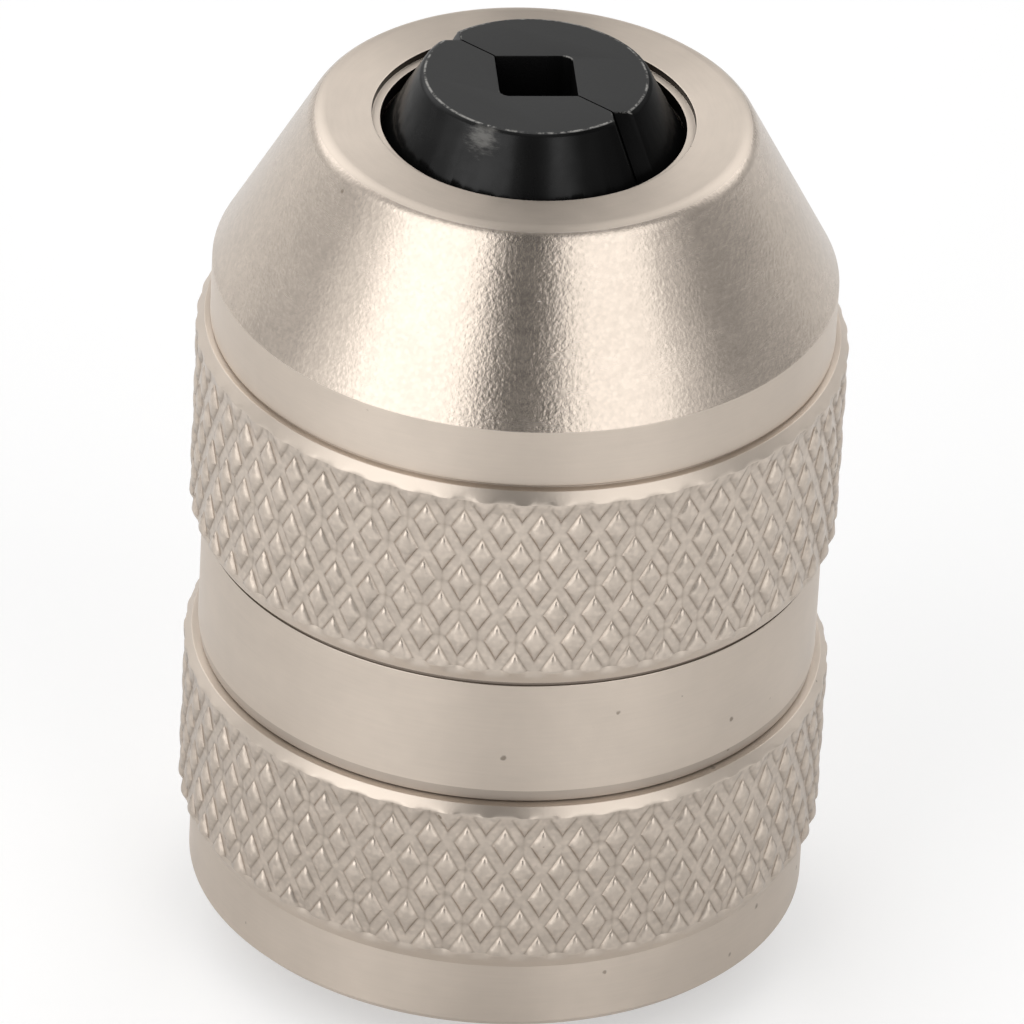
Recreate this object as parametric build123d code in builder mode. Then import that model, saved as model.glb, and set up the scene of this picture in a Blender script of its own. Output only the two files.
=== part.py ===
from build123d import *
import os
from math import radians, sqrt, tan

# Adjustable two-jaw tap chuck with a 1/4 inch square socket in its rear, shown with its
# jaws fully closed. All sizes are in millimetres. Z is the turning axis and +Z points to
# the nose. The origin is the centre of the drive collar's rear face. The jaws part along X.

# Outside sizes, shared by the nose cap and the drive body
grip_diameter = 23.0
band_diameter = 22.0
grip_shoulder = 0.33
edge_break = 0.15

# Nose cap, from its skirt up to the nose face
skirt_length = 4.95
front_grip_length = 8.0
front_band_length = 2.35
nose_cone_length = 6.1
nose_face_diameter = 15.4
nose_edge_radius = 0.7
mouth_diameter = 11.3
mouth_edge_radius = 0.15
skirt_edge_radius = 0.3
parting_gap = 0.05

# Drive body, from the collar up to the shoulder that the skirt closes on
collar_diameter = 16.4
collar_length = 1.8
collar_chamfer = 0.35
rear_groove_width = 1.5
rear_groove_depth = 0.9
rear_band_length = 2.9
rear_edge_chamfer = 0.3
rear_grip_length = 6.7
neck_root_radius = 0.3

# Square socket for a 1/4 inch drive, with its drilled pilot and its ball groove
drive_square = 6.45
drive_corner_radius = 0.25
drive_depth = 8.5
drive_lead_in = 0.5
pilot_diameter = 6.7
pilot_depth = 10.0
pilot_point_angle = 118.0
pilot_web = 0.6
ball_groove_height = 3.4
ball_groove_radius = 0.95
ball_groove_bite = 0.6

# Thread that closes the cap, M18 x 1, as plain cylinders at its pitch diameter
thread_diameter = 18.0
thread_pitch = 1.0
cap_thread_length = 5.4
thread_run_in = 0.8
neck_relief = 0.65
pitch_line_share = 0.3248
thread_clearance = 0.025

# Jaws
jaw_tip_diameter = 8.0
jaw_tip_standout = 1.65
jaw_tip_chamfer = 0.12
jaw_cone_angle = 28.0
jaw_head_diameter = 13.2
jaw_head_length = 8.25
jaw_length = 18.4
jaw_tongue_width = 8.9
jaw_tongue_chamfer = 0.4
jaw_edge_chamfer = 0.45
smallest_square = 2.7
largest_square = 6.3
notch_depth = 10.0
notch_root_radius = 0.35

# Springs that part the jaws
spring_height = 21.3
spring_offset = 2.3
spring_diameter = 2.2
spring_wire = 0.35
spring_turns = 6.5
spring_wire_facets = 8
pocket_diameter = 2.5
pocket_depth = 3.6

# Wire ring that stops the cap before it leaves the thread
stop_wire = 1.0
stop_lip = 0.55
stop_opening_angle = 36.0

# Clearances
cone_clearance = 0.08
cavity_clearance = 0.15
split_gap = 0.06
slot_clearance = 0.05
foot_clearance = 0.03
head_clearance = 0.1
thread_end_clearance = 0.2
skirt_clearance = 0.1
neck_clearance = 0.07
tongue_clearance = 0.1
stop_clearance = 0.05
stop_spread_clearance = 0.05
spring_end_clearance = 0.05

# Travel of the jaws and of the cap between the smallest and the largest square
cone_slope = tan(radians(jaw_cone_angle))
jaw_travel = (largest_square - smallest_square) / sqrt(2)
cap_travel = jaw_travel / cone_slope

# Radii
grip_radius = grip_diameter / 2
band_radius = band_diameter / 2
collar_radius = collar_diameter / 2
neck_radius = thread_diameter / 2 - neck_relief
pitch_radius = thread_diameter / 2 - pitch_line_share * thread_pitch
spigot_radius = pitch_radius - thread_clearance
cap_thread_radius = pitch_radius + thread_clearance
skirt_radius = thread_diameter / 2 + skirt_clearance
tip_radius = jaw_tip_diameter / 2
head_radius = jaw_head_diameter / 2
mouth_radius = mouth_diameter / 2
cavity_radius = head_radius + jaw_travel + cavity_clearance
tongue_radius = neck_radius - jaw_travel - tongue_clearance
stop_radius = neck_radius + neck_clearance + stop_wire / 2
stop_groove_radius = thread_diameter / 2 + stop_wire + stop_spread_clearance
slot_width = jaw_tongue_width + 2 * slot_clearance

# Heights above the collar's rear face
rim_z = collar_length
rear_grip_z = rim_z + rear_band_length
shoulder_z = rear_grip_z + rear_grip_length
skirt_z = shoulder_z + parting_gap
front_grip_z = shoulder_z + skirt_length
front_band_z = front_grip_z + front_grip_length
cone_z = front_band_z + front_band_length
nose_z = cone_z + nose_cone_length
tip_z = nose_z + jaw_tip_standout
head_base_z = tip_z - jaw_head_length
foot_z = tip_z - jaw_length
slot_floor_z = foot_z - foot_clearance
spigot_top_z = head_base_z - head_clearance
cap_thread_top_z = head_base_z - cap_travel - thread_end_clearance
cap_thread_base_z = cap_thread_top_z - cap_thread_length
stop_groove_z = skirt_z + stop_lip
stop_groove_width = stop_wire + 2 * stop_clearance
stop_z = stop_groove_z + stop_groove_width / 2
thread_base_z = stop_z + stop_wire / 2 + cap_travel + stop_clearance


def jaw_cone_radius(height):
    """Radius of the closed jaws' cone at a height above the origin."""
    return tip_radius + (tip_z - height) * cone_slope


def jaw_cone_height(radius):
    """Height at which the closed jaws' cone has a radius."""
    return tip_z - (radius - tip_radius) / cone_slope


def rings_at(part, height):
    """Round edges of a part that lie at one height, the smallest first."""
    level = part.edges().filter_by(GeomType.CIRCLE)
    near = level.filter_by_position(Axis.Z, height - 0.01, height + 0.01)
    return near.sort_by(SortBy.RADIUS)


# Nose cap: a turned shell with the closing cone inside its mouth
land_z = jaw_cone_height(mouth_radius - cone_clearance)
cavity_z = jaw_cone_height(cavity_radius - cone_clearance)

with BuildPart() as nose_cap:
    with BuildSketch(Plane.XZ):
        with BuildLine():
            Polyline(
                (skirt_radius, skirt_z),
                (band_radius, skirt_z),
                (band_radius, front_grip_z),
                (grip_radius, front_grip_z + grip_shoulder),
                (grip_radius, front_band_z - grip_shoulder),
                (band_radius, front_band_z),
                (band_radius, cone_z),
                (nose_face_diameter / 2, nose_z),
                (mouth_radius, nose_z),
                (mouth_radius, land_z),
                (cavity_radius, cavity_z),
                (cavity_radius, cap_thread_top_z),
                (cap_thread_radius, cap_thread_top_z),
                (cap_thread_radius, cap_thread_base_z),
                (skirt_radius, cap_thread_base_z),
                (skirt_radius, stop_groove_z + stop_groove_width),
                (stop_groove_radius, stop_groove_z + stop_groove_width),
                (stop_groove_radius, stop_groove_z),
                (skirt_radius, stop_groove_z),
                close=True,
            )
        make_face()
    revolve(axis=Axis.Z)
    fillet(rings_at(nose_cap, nose_z)[-1], radius=nose_edge_radius)
    fillet(rings_at(nose_cap, nose_z)[0], radius=mouth_edge_radius)
    fillet(rings_at(nose_cap, skirt_z)[-1], radius=skirt_edge_radius)
    chamfer(rings_at(nose_cap, skirt_z)[0], length=edge_break)

# Drive body: collar, rear grip and threaded spigot in one piece
with BuildPart() as drive_body:
    with BuildSketch(Plane.XZ):
        with BuildLine():
            Polyline(
                (0, 0),
                (collar_radius, 0),
                (collar_radius, rim_z + rear_groove_depth),
                (collar_radius + rear_groove_width, rim_z + rear_groove_depth),
                (collar_radius + rear_groove_width, rim_z),
                (band_radius, rim_z),
                (band_radius, rear_grip_z),
                (grip_radius, rear_grip_z + grip_shoulder),
                (grip_radius, shoulder_z - grip_shoulder),
                (band_radius, shoulder_z),
                (neck_radius, shoulder_z),
                (neck_radius, thread_base_z),
                (spigot_radius, thread_base_z),
                (spigot_radius, spigot_top_z),
                (0, spigot_top_z),
                close=True,
            )
        make_face()
    revolve(axis=Axis.Z)
    chamfer(rings_at(drive_body, 0)[-1], length=collar_chamfer)
    chamfer(rings_at(drive_body, rim_z)[-1], length=rear_edge_chamfer)
    chamfer(rings_at(drive_body, spigot_top_z)[-1], length=thread_run_in)
    fillet(rings_at(drive_body, shoulder_z)[0], radius=neck_root_radius)

    # Slot in which the two jaw tongues slide
    with BuildSketch(Plane.XY.offset(slot_floor_z)):
        Rectangle(grip_diameter, slot_width)
    extrude(amount=spigot_top_z - slot_floor_z, mode=Mode.SUBTRACT)

    # Broached square socket
    with BuildSketch() as socket:
        Rectangle(drive_square, drive_square)
        fillet(socket.vertices(), radius=drive_corner_radius)
    extrude(amount=drive_depth, mode=Mode.SUBTRACT)
    with BuildSketch() as lead_in:
        Rectangle(drive_square + 2 * drive_lead_in, drive_square + 2 * drive_lead_in)
        fillet(lead_in.vertices(), radius=drive_corner_radius + drive_lead_in)
    extrude(amount=drive_lead_in, taper=45, mode=Mode.SUBTRACT)

    # Drilled pilot with its point, and the groove for the driver's ball
    pilot_radius = pilot_diameter / 2
    point_length = (pilot_radius - pilot_web / 2) / tan(radians(pilot_point_angle / 2))
    ball_groove_centre = drive_square / 2 + ball_groove_bite - ball_groove_radius
    with BuildSketch(Plane.XZ):
        with BuildLine():
            Polyline(
                (0, 0),
                (pilot_radius, 0),
                (pilot_radius, pilot_depth),
                (pilot_web / 2, pilot_depth + point_length),
                (0, pilot_depth + point_length),
                close=True,
            )
        make_face()
        with Locations((ball_groove_centre, ball_groove_height)):
            Circle(ball_groove_radius)
    revolve(axis=Axis.Z, mode=Mode.SUBTRACT)

# Right jaw: half of a turned blank with a coned head, its V notch and its spring pockets
with BuildPart() as jaw_right:
    with BuildSketch(Plane.XZ):
        with BuildLine():
            Polyline(
                (0, foot_z),
                (tongue_radius - jaw_tongue_chamfer, foot_z),
                (tongue_radius, foot_z + jaw_tongue_chamfer),
                (tongue_radius, head_base_z),
                (head_radius, head_base_z),
                (head_radius, jaw_cone_height(head_radius)),
                (tip_radius, tip_z),
                (0, tip_z),
                close=True,
            )
        make_face()
    revolve(axis=Axis.Z)
    chamfer(rings_at(jaw_right, tip_z)[-1], length=jaw_tip_chamfer)

    # Flats that guide the tongue between the slot's walls
    with BuildSketch(Plane.XY.offset(foot_z)):
        Rectangle(grip_diameter, grip_diameter)
        Rectangle(grip_diameter, jaw_tongue_width, mode=Mode.SUBTRACT)
    extrude(amount=head_base_z - foot_z, mode=Mode.SUBTRACT)
    split(bisect_by=Plane.YZ.offset(split_gap / 2), keep=Keep.TOP)

    # Bevels down both cone edges of the split face, which meet as a V between the jaws
    split_edges = jaw_right.faces().sort_by(Axis.X)[0].edges()
    cone_edges = split_edges.filter_by(GeomType.LINE, reverse=True).sort_by(SortBy.LENGTH)
    chamfer(cone_edges[-2:], length=jaw_edge_chamfer)

    with BuildSketch(Plane.XY.offset(tip_z)) as notch:
        Rectangle(smallest_square, smallest_square, rotation=45)
        fillet(notch.vertices().sort_by(Axis.X)[-1], radius=notch_root_radius)
    extrude(amount=-notch_depth, mode=Mode.SUBTRACT)

    with BuildSketch(Plane.YZ):
        with Locations((spring_offset, spring_height), (-spring_offset, spring_height)):
            Circle(pocket_diameter / 2)
    extrude(amount=split_gap / 2 + pocket_depth, mode=Mode.SUBTRACT)

# Left jaw: the right one mirrored across the split
with BuildPart() as jaw_left:
    mirror(objects=[jaw_right.part], about=Plane.YZ)

# Springs: coils compressed between the floors of the jaws' pockets
spring_length = split_gap + 2 * (pocket_depth - spring_end_clearance)
coil_radius = (spring_diameter - spring_wire) / 2
coil_length = spring_length - spring_wire

with BuildPart() as jaw_spring_front:
    with BuildLine() as wire_path:
        Helix(
            pitch=coil_length / spring_turns,
            height=coil_length,
            radius=coil_radius,
            center=(-coil_length / 2, -spring_offset, spring_height),
            direction=(1, 0, 0),
        )
    with BuildSketch(Plane(wire_path.line @ 0, z_dir=wire_path.line % 0)):
        RegularPolygon(spring_wire / 2, spring_wire_facets)
    sweep(path=wire_path.line, is_frenet=True)

with BuildPart() as jaw_spring_back:
    with Locations((0, 2 * spring_offset, 0)):
        add(jaw_spring_front.part)

# Stop ring: round wire in the skirt's groove, open at the rear of the slot
with BuildPart() as stop_ring:
    with BuildSketch(Plane.XZ):
        with Locations((stop_radius, stop_z)):
            Circle(stop_wire / 2)
    revolve(axis=Axis.Z, revolution_arc=360 - stop_opening_angle)

nose_cap.part.label = "nose_cap"
drive_body.part.label = "drive_body"
jaw_right.part.label = "jaw_right"
jaw_left.part.label = "jaw_left"
jaw_spring_front.part.label = "jaw_spring_front"
jaw_spring_back.part.label = "jaw_spring_back"
stop_ring.part.label = "stop_ring"

os.makedirs("parts", exist_ok=True)
export_step(nose_cap.part, "parts/nose_cap.step")
export_step(drive_body.part, "parts/drive_body.step")
export_step(jaw_right.part, "parts/jaw_right.step")
export_step(jaw_left.part, "parts/jaw_left.step")
export_step(jaw_spring_front.part, "parts/jaw_spring_front.step")
export_step(jaw_spring_back.part, "parts/jaw_spring_back.step")
export_step(stop_ring.part, "parts/stop_ring.step")
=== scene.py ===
"""Looks of an adjustable tap chuck: its knurled nickel cap and body, black jaws, springs and ring.

Sizes in the classes are in millimetres, and a mesh is scaled to metres as it is made. Z is the
turning axis with +Z towards the nose, and +X is the way the right jaw opens. A turned section is a
list of corners that runs with the metal on its left, so that its faces look outwards.
"""

import logging
import math
from collections.abc import Sequence
from dataclasses import dataclass, field
from enum import Enum
from typing import ClassVar

import bmesh
import bpy
import numpy as np
from mathutils import Matrix, Vector


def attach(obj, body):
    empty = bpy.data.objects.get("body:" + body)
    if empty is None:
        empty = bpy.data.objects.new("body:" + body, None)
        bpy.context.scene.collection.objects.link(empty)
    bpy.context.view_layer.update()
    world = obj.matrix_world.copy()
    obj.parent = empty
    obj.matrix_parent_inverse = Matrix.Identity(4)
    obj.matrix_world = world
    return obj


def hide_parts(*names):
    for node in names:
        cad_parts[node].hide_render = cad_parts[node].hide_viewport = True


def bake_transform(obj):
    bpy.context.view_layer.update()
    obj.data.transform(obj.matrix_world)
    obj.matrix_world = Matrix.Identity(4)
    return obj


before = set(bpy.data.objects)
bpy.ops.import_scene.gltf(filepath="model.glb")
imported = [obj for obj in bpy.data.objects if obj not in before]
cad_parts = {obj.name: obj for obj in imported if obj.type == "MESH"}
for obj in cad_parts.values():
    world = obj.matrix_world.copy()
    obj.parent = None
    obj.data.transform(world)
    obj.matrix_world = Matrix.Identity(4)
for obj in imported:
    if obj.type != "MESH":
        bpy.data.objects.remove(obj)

# A colour or direction, the ends of a range and the results at them, and a face of a turned mesh as
# the ring and column of each corner. A point on the axis counts as half a column on, in a ring of
# its own before the first or after the last.
Triple = tuple[float, float, float]
Ramp = tuple[float, float, float, float]
Face = tuple[tuple[float, float], ...]

MM = 0.001
LOG = logging.getLogger("tap_chuck")
BAKE_MAP = "OFBake"

# Distance of each spring's axis from the middle, in millimetres.
SPRING_Y = 2.3

# A corner's round may take this share of a run. The rest are in millimetres: the row that supports
# a round, the least support and the least round that are made, and how far a row of a grip stands
# over the band at least.
ROUND_SHARE = 0.45
SUPPORT = 0.04
LEAST_SUPPORT = 0.004
LEAST_ROUND = 1e-4
PROUD = 0.001

# Multipliers that scatter a pair of whole numbers into fixed random values from 0 to 1.
SCATTER = (12.9898, 78.233, 43758.5453)

# Slow swells of a knurl's depth: waves round the grip, and how they lean with the height.
SWELLS = ((3, 1.0), (7, -1.7))

# Room in a bake map, in millimetres of a section's length: what each ring adds, the closing strip,
# how far a pole lies before the first ring, and the margin.
MAP_STEP = 0.02
MAP_CLOSE = 1.0
MAP_POLE = 0.3
MAP_MARGIN = 0.4

# Edges that turn by more than these angles in degrees are shaded sharp.
TURNED_ANGLE = 40.0
THREAD_ANGLE = 30.0
JAW_ANGLE = 35.0
WIRE_ANGLE = 60.0


class Zone(Enum):
    """Runs of a turned section that share a finish, in the order of the piece's material slots."""

    BAND = 0
    CONE = 1
    KNURL = 2
    # The bore zone's darker nickel is partly painted shade where it shows outside; the relief and
    # recess zones are painted shade.
    BORE = 3
    RELIEF = 4
    RECESS = 5


class Side(Enum):
    """Side of the split on which a jaw lies, as the sign of its X."""

    RIGHT = 1
    LEFT = -1


@dataclass(frozen=True)
class Corner:
    """Corner of a turned section, and the finish of the run that follows it."""

    radius: float
    height: float
    bend: float = 0.04
    zone: Zone = Zone.BAND
    cuts: int = 0


@dataclass(frozen=True)
class Row:
    """Ring of a turned mesh: its radius and height, the finish after it, and if it is an edge."""

    radius: float
    height: float
    zone: Zone
    edge: float = 0.0


def bend_rows(corner: Corner, before: Corner, after: Corner, steps: int = 4) -> list[Row]:
    """Rounds one corner of a section.

    Args:
        corner: The corner to round.
        before: The corner ahead of it.
        after: The corner behind it.
        steps: Faces across the round.

    Returns:
        The rows of the round, with one support row on each side of it.
    """
    here = np.array([corner.radius, corner.height])
    come = here - (before.radius, before.height)
    leave = np.array([after.radius, after.height]) - here
    room = min(np.linalg.norm(come), np.linalg.norm(leave)) * ROUND_SHARE
    come, leave = come / np.linalg.norm(come), leave / np.linalg.norm(leave)
    turn = math.atan2(come[0] * leave[1] - come[1] * leave[0], float(come @ leave))
    reach = min(corner.bend * math.tan(abs(turn) / 2), room)
    if reach < LEAST_ROUND:
        return [Row(corner.radius, corner.height, corner.zone)]
    size = reach / math.tan(abs(turn) / 2)
    start = here - come * reach
    side = np.array([-come[1], come[0]]) * math.copysign(1.0, turn)
    centre = start + side * size
    support = min(SUPPORT, room - reach)
    rows = []
    if support > LEAST_SUPPORT:
        rows.append(Row(*(start - come * support), before.zone))
    for step in range(steps + 1):
        angle = turn * step / steps
        spin = np.array([[math.cos(angle), -math.sin(angle)], [math.sin(angle), math.cos(angle)]])
        zone = before.zone if step * 2 < steps else corner.zone
        rows.append(Row(*(centre + spin @ (start - centre)), zone, 1.0))
    if support > LEAST_SUPPORT:
        rows.append(Row(*(here + leave * (reach + support)), corner.zone))
    return rows


def section_rows(corners: Sequence[Corner], closed: bool) -> list[Row]:
    """Turns the corners of a section into the rows of its mesh.

    Args:
        corners: The corners, in order.
        closed: True if the last corner runs back to the first.

    Returns:
        The rows, with rounded corners and the extra cuts that runs ask for.
    """
    rows: list[Row] = []
    last = len(corners) - 1
    for index, corner in enumerate(corners):
        after = corners[(index + 1) % len(corners)]
        if not closed and index in (0, last):
            rows.append(Row(corner.radius, corner.height, corner.zone))
        else:
            rows.extend(bend_rows(corner, corners[index - 1], after))
        if closed or index < last:
            for cut in range(1, corner.cuts + 1):
                share = cut / (corner.cuts + 1)
                radius = corner.radius + (after.radius - corner.radius) * share
                height = corner.height + (after.height - corner.height) * share
                rows.append(Row(radius, height, corner.zone))
    return rows


@dataclass(frozen=True)
class Knurl:
    """Diamond knurl pressed into a grip, laid on a lattice that follows its grooves.

    Attributes:
        around: Diamonds round the grip.
        rise: Height of a diamond.
        depth: Greatest depth of a groove.
        depth_swing: Share of the depth that comes and goes round the grip.
        samples: Columns and rows of the lattice for one diamond.
        root: Half width of a groove at its floor, in samples, so that it lies on the lattice.
        groove: Half width of a groove at its mouth, in samples.
        dome: How far a diamond's edges lie under its middle.
        uneven: How far one diamond may lie under another.
        pit: Extra depth of a pit where two grooves cross.
        pit_share: Share of the crossings that have a pit.
        pit_reach: Half width of a pit, in samples.
        run_out: Height over which the grooves fade towards the grip's top.
        end_depth: Share of their depth that is left there.
    """

    around: int = 53
    rise: float = 2.27
    depth: float = 0.17
    depth_swing: float = 0.12
    samples: int = 12
    root: float = 2.0
    groove: float = 3.0
    dome: float = 0.05
    uneven: float = 0.02
    pit: float = 0.05
    pit_share: float = 0.45
    pit_reach: float = 1.6
    run_out: float = 0.5
    end_depth: float = 0.35

    @property
    def columns(self) -> int:
        """Columns of a mesh that carries this knurl."""
        return self.around * self.samples

    @property
    def row_height(self) -> float:
        """Height of one row of the lattice."""
        return self.rise / self.samples

    def places(
        self, height: np.ndarray, column: np.ndarray, base: float
    ) -> tuple[np.ndarray, np.ndarray]:
        """Finds where points lie between the grooves.

        Args:
            height: Heights of the points.
            column: Columns of the points.
            base: Height at which the lattice starts.

        Returns:
            The place among the rising and among the falling grooves. A whole number is a groove.
        """
        turn = column / self.samples
        climb = (height - base) / self.rise
        return turn + climb, turn - climb

    def chance(self, along: np.ndarray, up: np.ndarray) -> np.ndarray:
        """Gives places of the lattice a fixed random value.

        Args:
            along: The places' whole numbers among the rising grooves.
            up: The same among the falling grooves.

        Returns:
            A value from 0 to 1 for each place, the same after a full turn.
        """
        name = np.mod(along + up, 2 * self.around) * SCATTER[0] + (along - up) * SCATTER[1]
        return np.mod(np.abs(np.sin(name)) * SCATTER[2], 1.0)

    def sink(
        self, height: np.ndarray, column: np.ndarray, base: float
    ) -> tuple[np.ndarray, np.ndarray]:
        """Finds how far the surface lies under the grip's radius.

        Args:
            height: Heights of the points.
            column: Columns of the points, which may be between whole columns.
            base: Height at which the lattice starts.

        Returns:
            The depth in millimetres, and how much darker it is painted there, as grime and painted
            shade: 1 along the foot of each groove's walls and in the pits where some of the grooves
                cross.
        """
        rising, falling = self.places(height, column, base)
        near_rising = np.abs(rising - np.round(rising)) * self.samples
        near_falling = np.abs(falling - np.round(falling)) * self.samples
        nearest = np.minimum(near_rising, near_falling)
        share = np.clip((self.groove - nearest) / (self.groove - self.root), 0.0, 1.0)
        inside = np.clip((nearest - self.groove) / (self.samples / 2 - self.groove), 0.0, 1.0)
        pad = self.chance(np.floor(rising + 1e-6), np.floor(falling + 1e-6))
        crossing = self.chance(np.round(rising) + 0.5, np.round(falling)) < self.pit_share
        pit = np.clip(self.pit_reach - np.maximum(near_rising, near_falling), 0.0, 1.0) * crossing
        angle = 2 * math.pi * column / self.columns
        swell = np.full_like(angle, 0.5)
        for waves, lean in SWELLS:
            swell = swell + 0.5 / len(SWELLS) * np.sin(waves * angle + lean * height)
        floor = self.depth * (1.0 - self.depth_swing + self.depth_swing * swell) + self.pit * pit
        top = self.uneven * pad + self.dome * (1.0 - inside) ** 2
        foot = np.clip(1.0 - np.abs(nearest - self.root), 0.0, 1.0)
        return share * floor + (1.0 - share) * top, np.maximum(foot, pit)


def mesh_object(name: str, points: np.ndarray, faces: Sequence[Sequence[int]]) -> bpy.types.Object:
    """Makes a mesh object from points in millimetres.

    Args:
        name: Name of the piece.
        points: One row of x, y and z for each vertex.
        faces: Vertex numbers of each face.

    Returns:
        The new object, in metres and in the scene.
    """
    mesh = bpy.data.meshes.new(name)
    corners = [list(map(int, face)) for face in faces]
    mesh.from_pydata((np.asarray(points) * MM).tolist(), [], corners)
    mesh.update()
    piece = bpy.data.objects.new(name, mesh)
    bpy.context.scene.collection.objects.link(piece)
    return piece


def smooth(piece: bpy.types.Object, angle: float) -> None:
    """Shades a piece smooth, apart from its sharp edges.

    Args:
        piece: The piece.
        angle: Edges that turn by more than this angle in degrees stay sharp.
    """
    piece.data.polygons.foreach_set("use_smooth", [True] * len(piece.data.polygons))
    piece.data.set_sharp_from_angle(angle=math.radians(angle))


@dataclass
class TurnedMesh:
    """Mesh of rings round the turning axis, each as a radius and a height for every column.

    Attributes:
        name: Name of the piece.
        columns: Points of each ring.
        radii: Each ring's radii.
        heights: Each ring's heights.
        zones: Finish of the faces after each ring.
        grooves: How much darker each ring's points are painted, as grime and painted shade.
        edges: 1 for a ring on a rounded edge.
        lattice: True for a ring whose faces are cut along the knurl's grooves.
        base: Height at which the knurl's lattice starts.
    """

    name: str
    columns: int
    radii: list[np.ndarray] = field(default_factory=list)
    heights: list[np.ndarray] = field(default_factory=list)
    zones: list[Zone] = field(default_factory=list)
    grooves: list[np.ndarray] = field(default_factory=list)
    edges: list[float] = field(default_factory=list)
    lattice: list[bool] = field(default_factory=list)
    base: float = 0.0

    # Least height of the last row of a lattice, as a share of a row, and how far a shoulder may lie
    # under a groove's floor in millimetres and still be painted darker, as grime and painted shade.
    LEAST_ROW: ClassVar[float] = 0.3
    DIRT_AND_SHADE_LIFT: ClassVar[float] = 0.02

    def ring(
        self,
        radius: float | np.ndarray,
        height: float,
        zone: Zone,
        groove: float | np.ndarray = 0.0,
        edge: float = 0.0,
        lattice: bool = False,
    ) -> None:
        """Adds a ring.

        Args:
            radius: Its radius, or the radius at each column.
            height: Its height.
            zone: Finish of the faces that follow it.
            groove: How much darker it is painted there, as grime and painted shade.
            edge: 1 on a rounded edge.
            lattice: True if it carries the knurl.
        """
        full = np.ones(self.columns)
        self.radii.append(full * radius)
        self.heights.append(full * height)
        self.zones.append(zone)
        self.grooves.append(full * groove)
        self.edges.append(edge)
        self.lattice.append(lattice)

    def rows(self, rows: Sequence[Row]) -> None:
        """Adds plain rings."""
        for row in rows:
            self.ring(row.radius, row.height, row.zone, edge=row.edge)

    def grip(self, rows: Sequence[Row], knurl: Knurl, grip_radius: float) -> None:
        """Adds the rings of a knurled grip and of the shoulders that its grooves run into.

        Args:
            rows: Rows of the plain grip, from one shoulder's foot to the other's.
            knurl: The knurl pressed into it.
            grip_radius: Radius over the knurl's tops.
        """
        column = np.arange(self.columns, dtype=float)
        flats = [row.height for row in rows if row.radius > grip_radius - LEAST_ROUND]
        low, high = min(flats), max(flats)
        count = int((high - low) / knurl.row_height - self.LEAST_ROW)
        steps = [(row, row.height == low) for row in rows if not low < row.height < high]
        for step in range(1, count + 1):
            steps.append((Row(grip_radius, low + knurl.row_height * step, Zone.KNURL), True))
        for row, lattice in sorted(steps, key=lambda step: step[0].height):
            # The rings by the grooves are painted darker, as grime and painted shade.
            sink, dirt_and_shade = knurl.sink(np.full(self.columns, row.height), column, low)
            sink *= np.interp(high - row.height, (0.0, knurl.run_out), (knurl.end_depth, 1.0))
            cut = np.minimum(row.radius, grip_radius - sink)
            dirt_and_shade = np.where(grip_radius - sink < row.radius + self.DIRT_AND_SHADE_LIFT, dirt_and_shade, 0.0)
            self.ring(cut, row.height, row.zone, dirt_and_shade, row.edge, lattice)
        self.base = low

    def strip(self, ring: int, knurl: Knurl | None) -> list[Face]:
        """Makes the faces between a ring and the next.

        Args:
            ring: Number of the ring.
            knurl: The knurl that they may carry.

        Returns:
            The faces, cut along the grooves where both rings carry the knurl.
        """
        after = (ring + 1) % len(self.radii)
        knurled = knurl is not None and self.lattice[ring] and self.lattice[after]
        faces: list[Face] = []
        for column in range(self.columns):
            a, b, c, d = [(ring + up, column + on) for up, on in ((0, 0), (0, 1), (1, 1), (1, 0))]
            if not knurled:
                faces.append((a, b, c, d))
                continue
            middle = (self.heights[ring][column] + self.heights[after][column]) / 2
            rising, falling = knurl.places(middle, column + 0.5, self.base)
            if abs(falling - round(falling)) < abs(rising - round(rising)):
                faces += [(a, b, c), (a, c, d)]
            else:
                faces += [(a, b, d), (b, c, d)]
        return faces

    def build(
        self,
        closed: bool = False,
        poles: tuple[float | None, float | None] = (None, None),
        knurl: Knurl | None = None,
    ) -> bpy.types.Object:
        """Makes the mesh.

        Args:
            closed: True if the last ring joins the first.
            poles: Heights of the points on the axis that close the first and the last ring.
            knurl: The knurl whose lattice the marked rings carry.

        Returns:
            The piece, with a material index, a groove and an edge value, and a bake map.
        """
        count, columns = len(self.radii), self.columns
        angle = 2 * math.pi * np.arange(columns) / columns
        radius, height = np.array(self.radii), np.array(self.heights)
        points = np.stack([radius * np.cos(angle), radius * np.sin(angle), height], -1)
        points = points.reshape(-1, 3)
        groove, edge = np.array(self.grooves).ravel(), np.repeat(self.edges, columns)
        faces: list[Face] = []
        zones: list[int] = []
        for ring in range(count if closed else count - 1):
            made = self.strip(ring, knurl)
            faces += made
            zones += [self.zones[ring].value] * len(made)
        tips: dict[int, int] = {}
        for ring, end, pole in ((-1, 0, poles[0]), (count, count - 1, poles[1])):
            if pole is None:
                continue
            tips[ring] = len(points)
            points = np.vstack([points, (0.0, 0.0, pole)])
            groove, edge = np.append(groove, 0.0), np.append(edge, 0.0)
            for column in range(columns):
                tip, here, beside = (ring, column + 0.5), (end, column), (end, column + 1)
                faces.append((tip, beside, here) if ring < 0 else (here, beside, tip))
            zones += [self.zones[end].value] * columns
        numbers = [
            [tips.get(ring, ring % count * columns + column % columns) for ring, column in face]
            for face in faces
        ]
        piece = mesh_object(self.name, points, numbers)
        piece.data.polygons.foreach_set("material_index", zones)
        for label, values in (("groove", groove), ("edge", edge)):
            layer = piece.data.attributes.new(label, "FLOAT", "POINT")
            layer.data.foreach_set("value", values.astype(np.float32))
        self.unwrap(piece, faces)
        smooth(piece, TURNED_ANGLE)
        return piece

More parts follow.
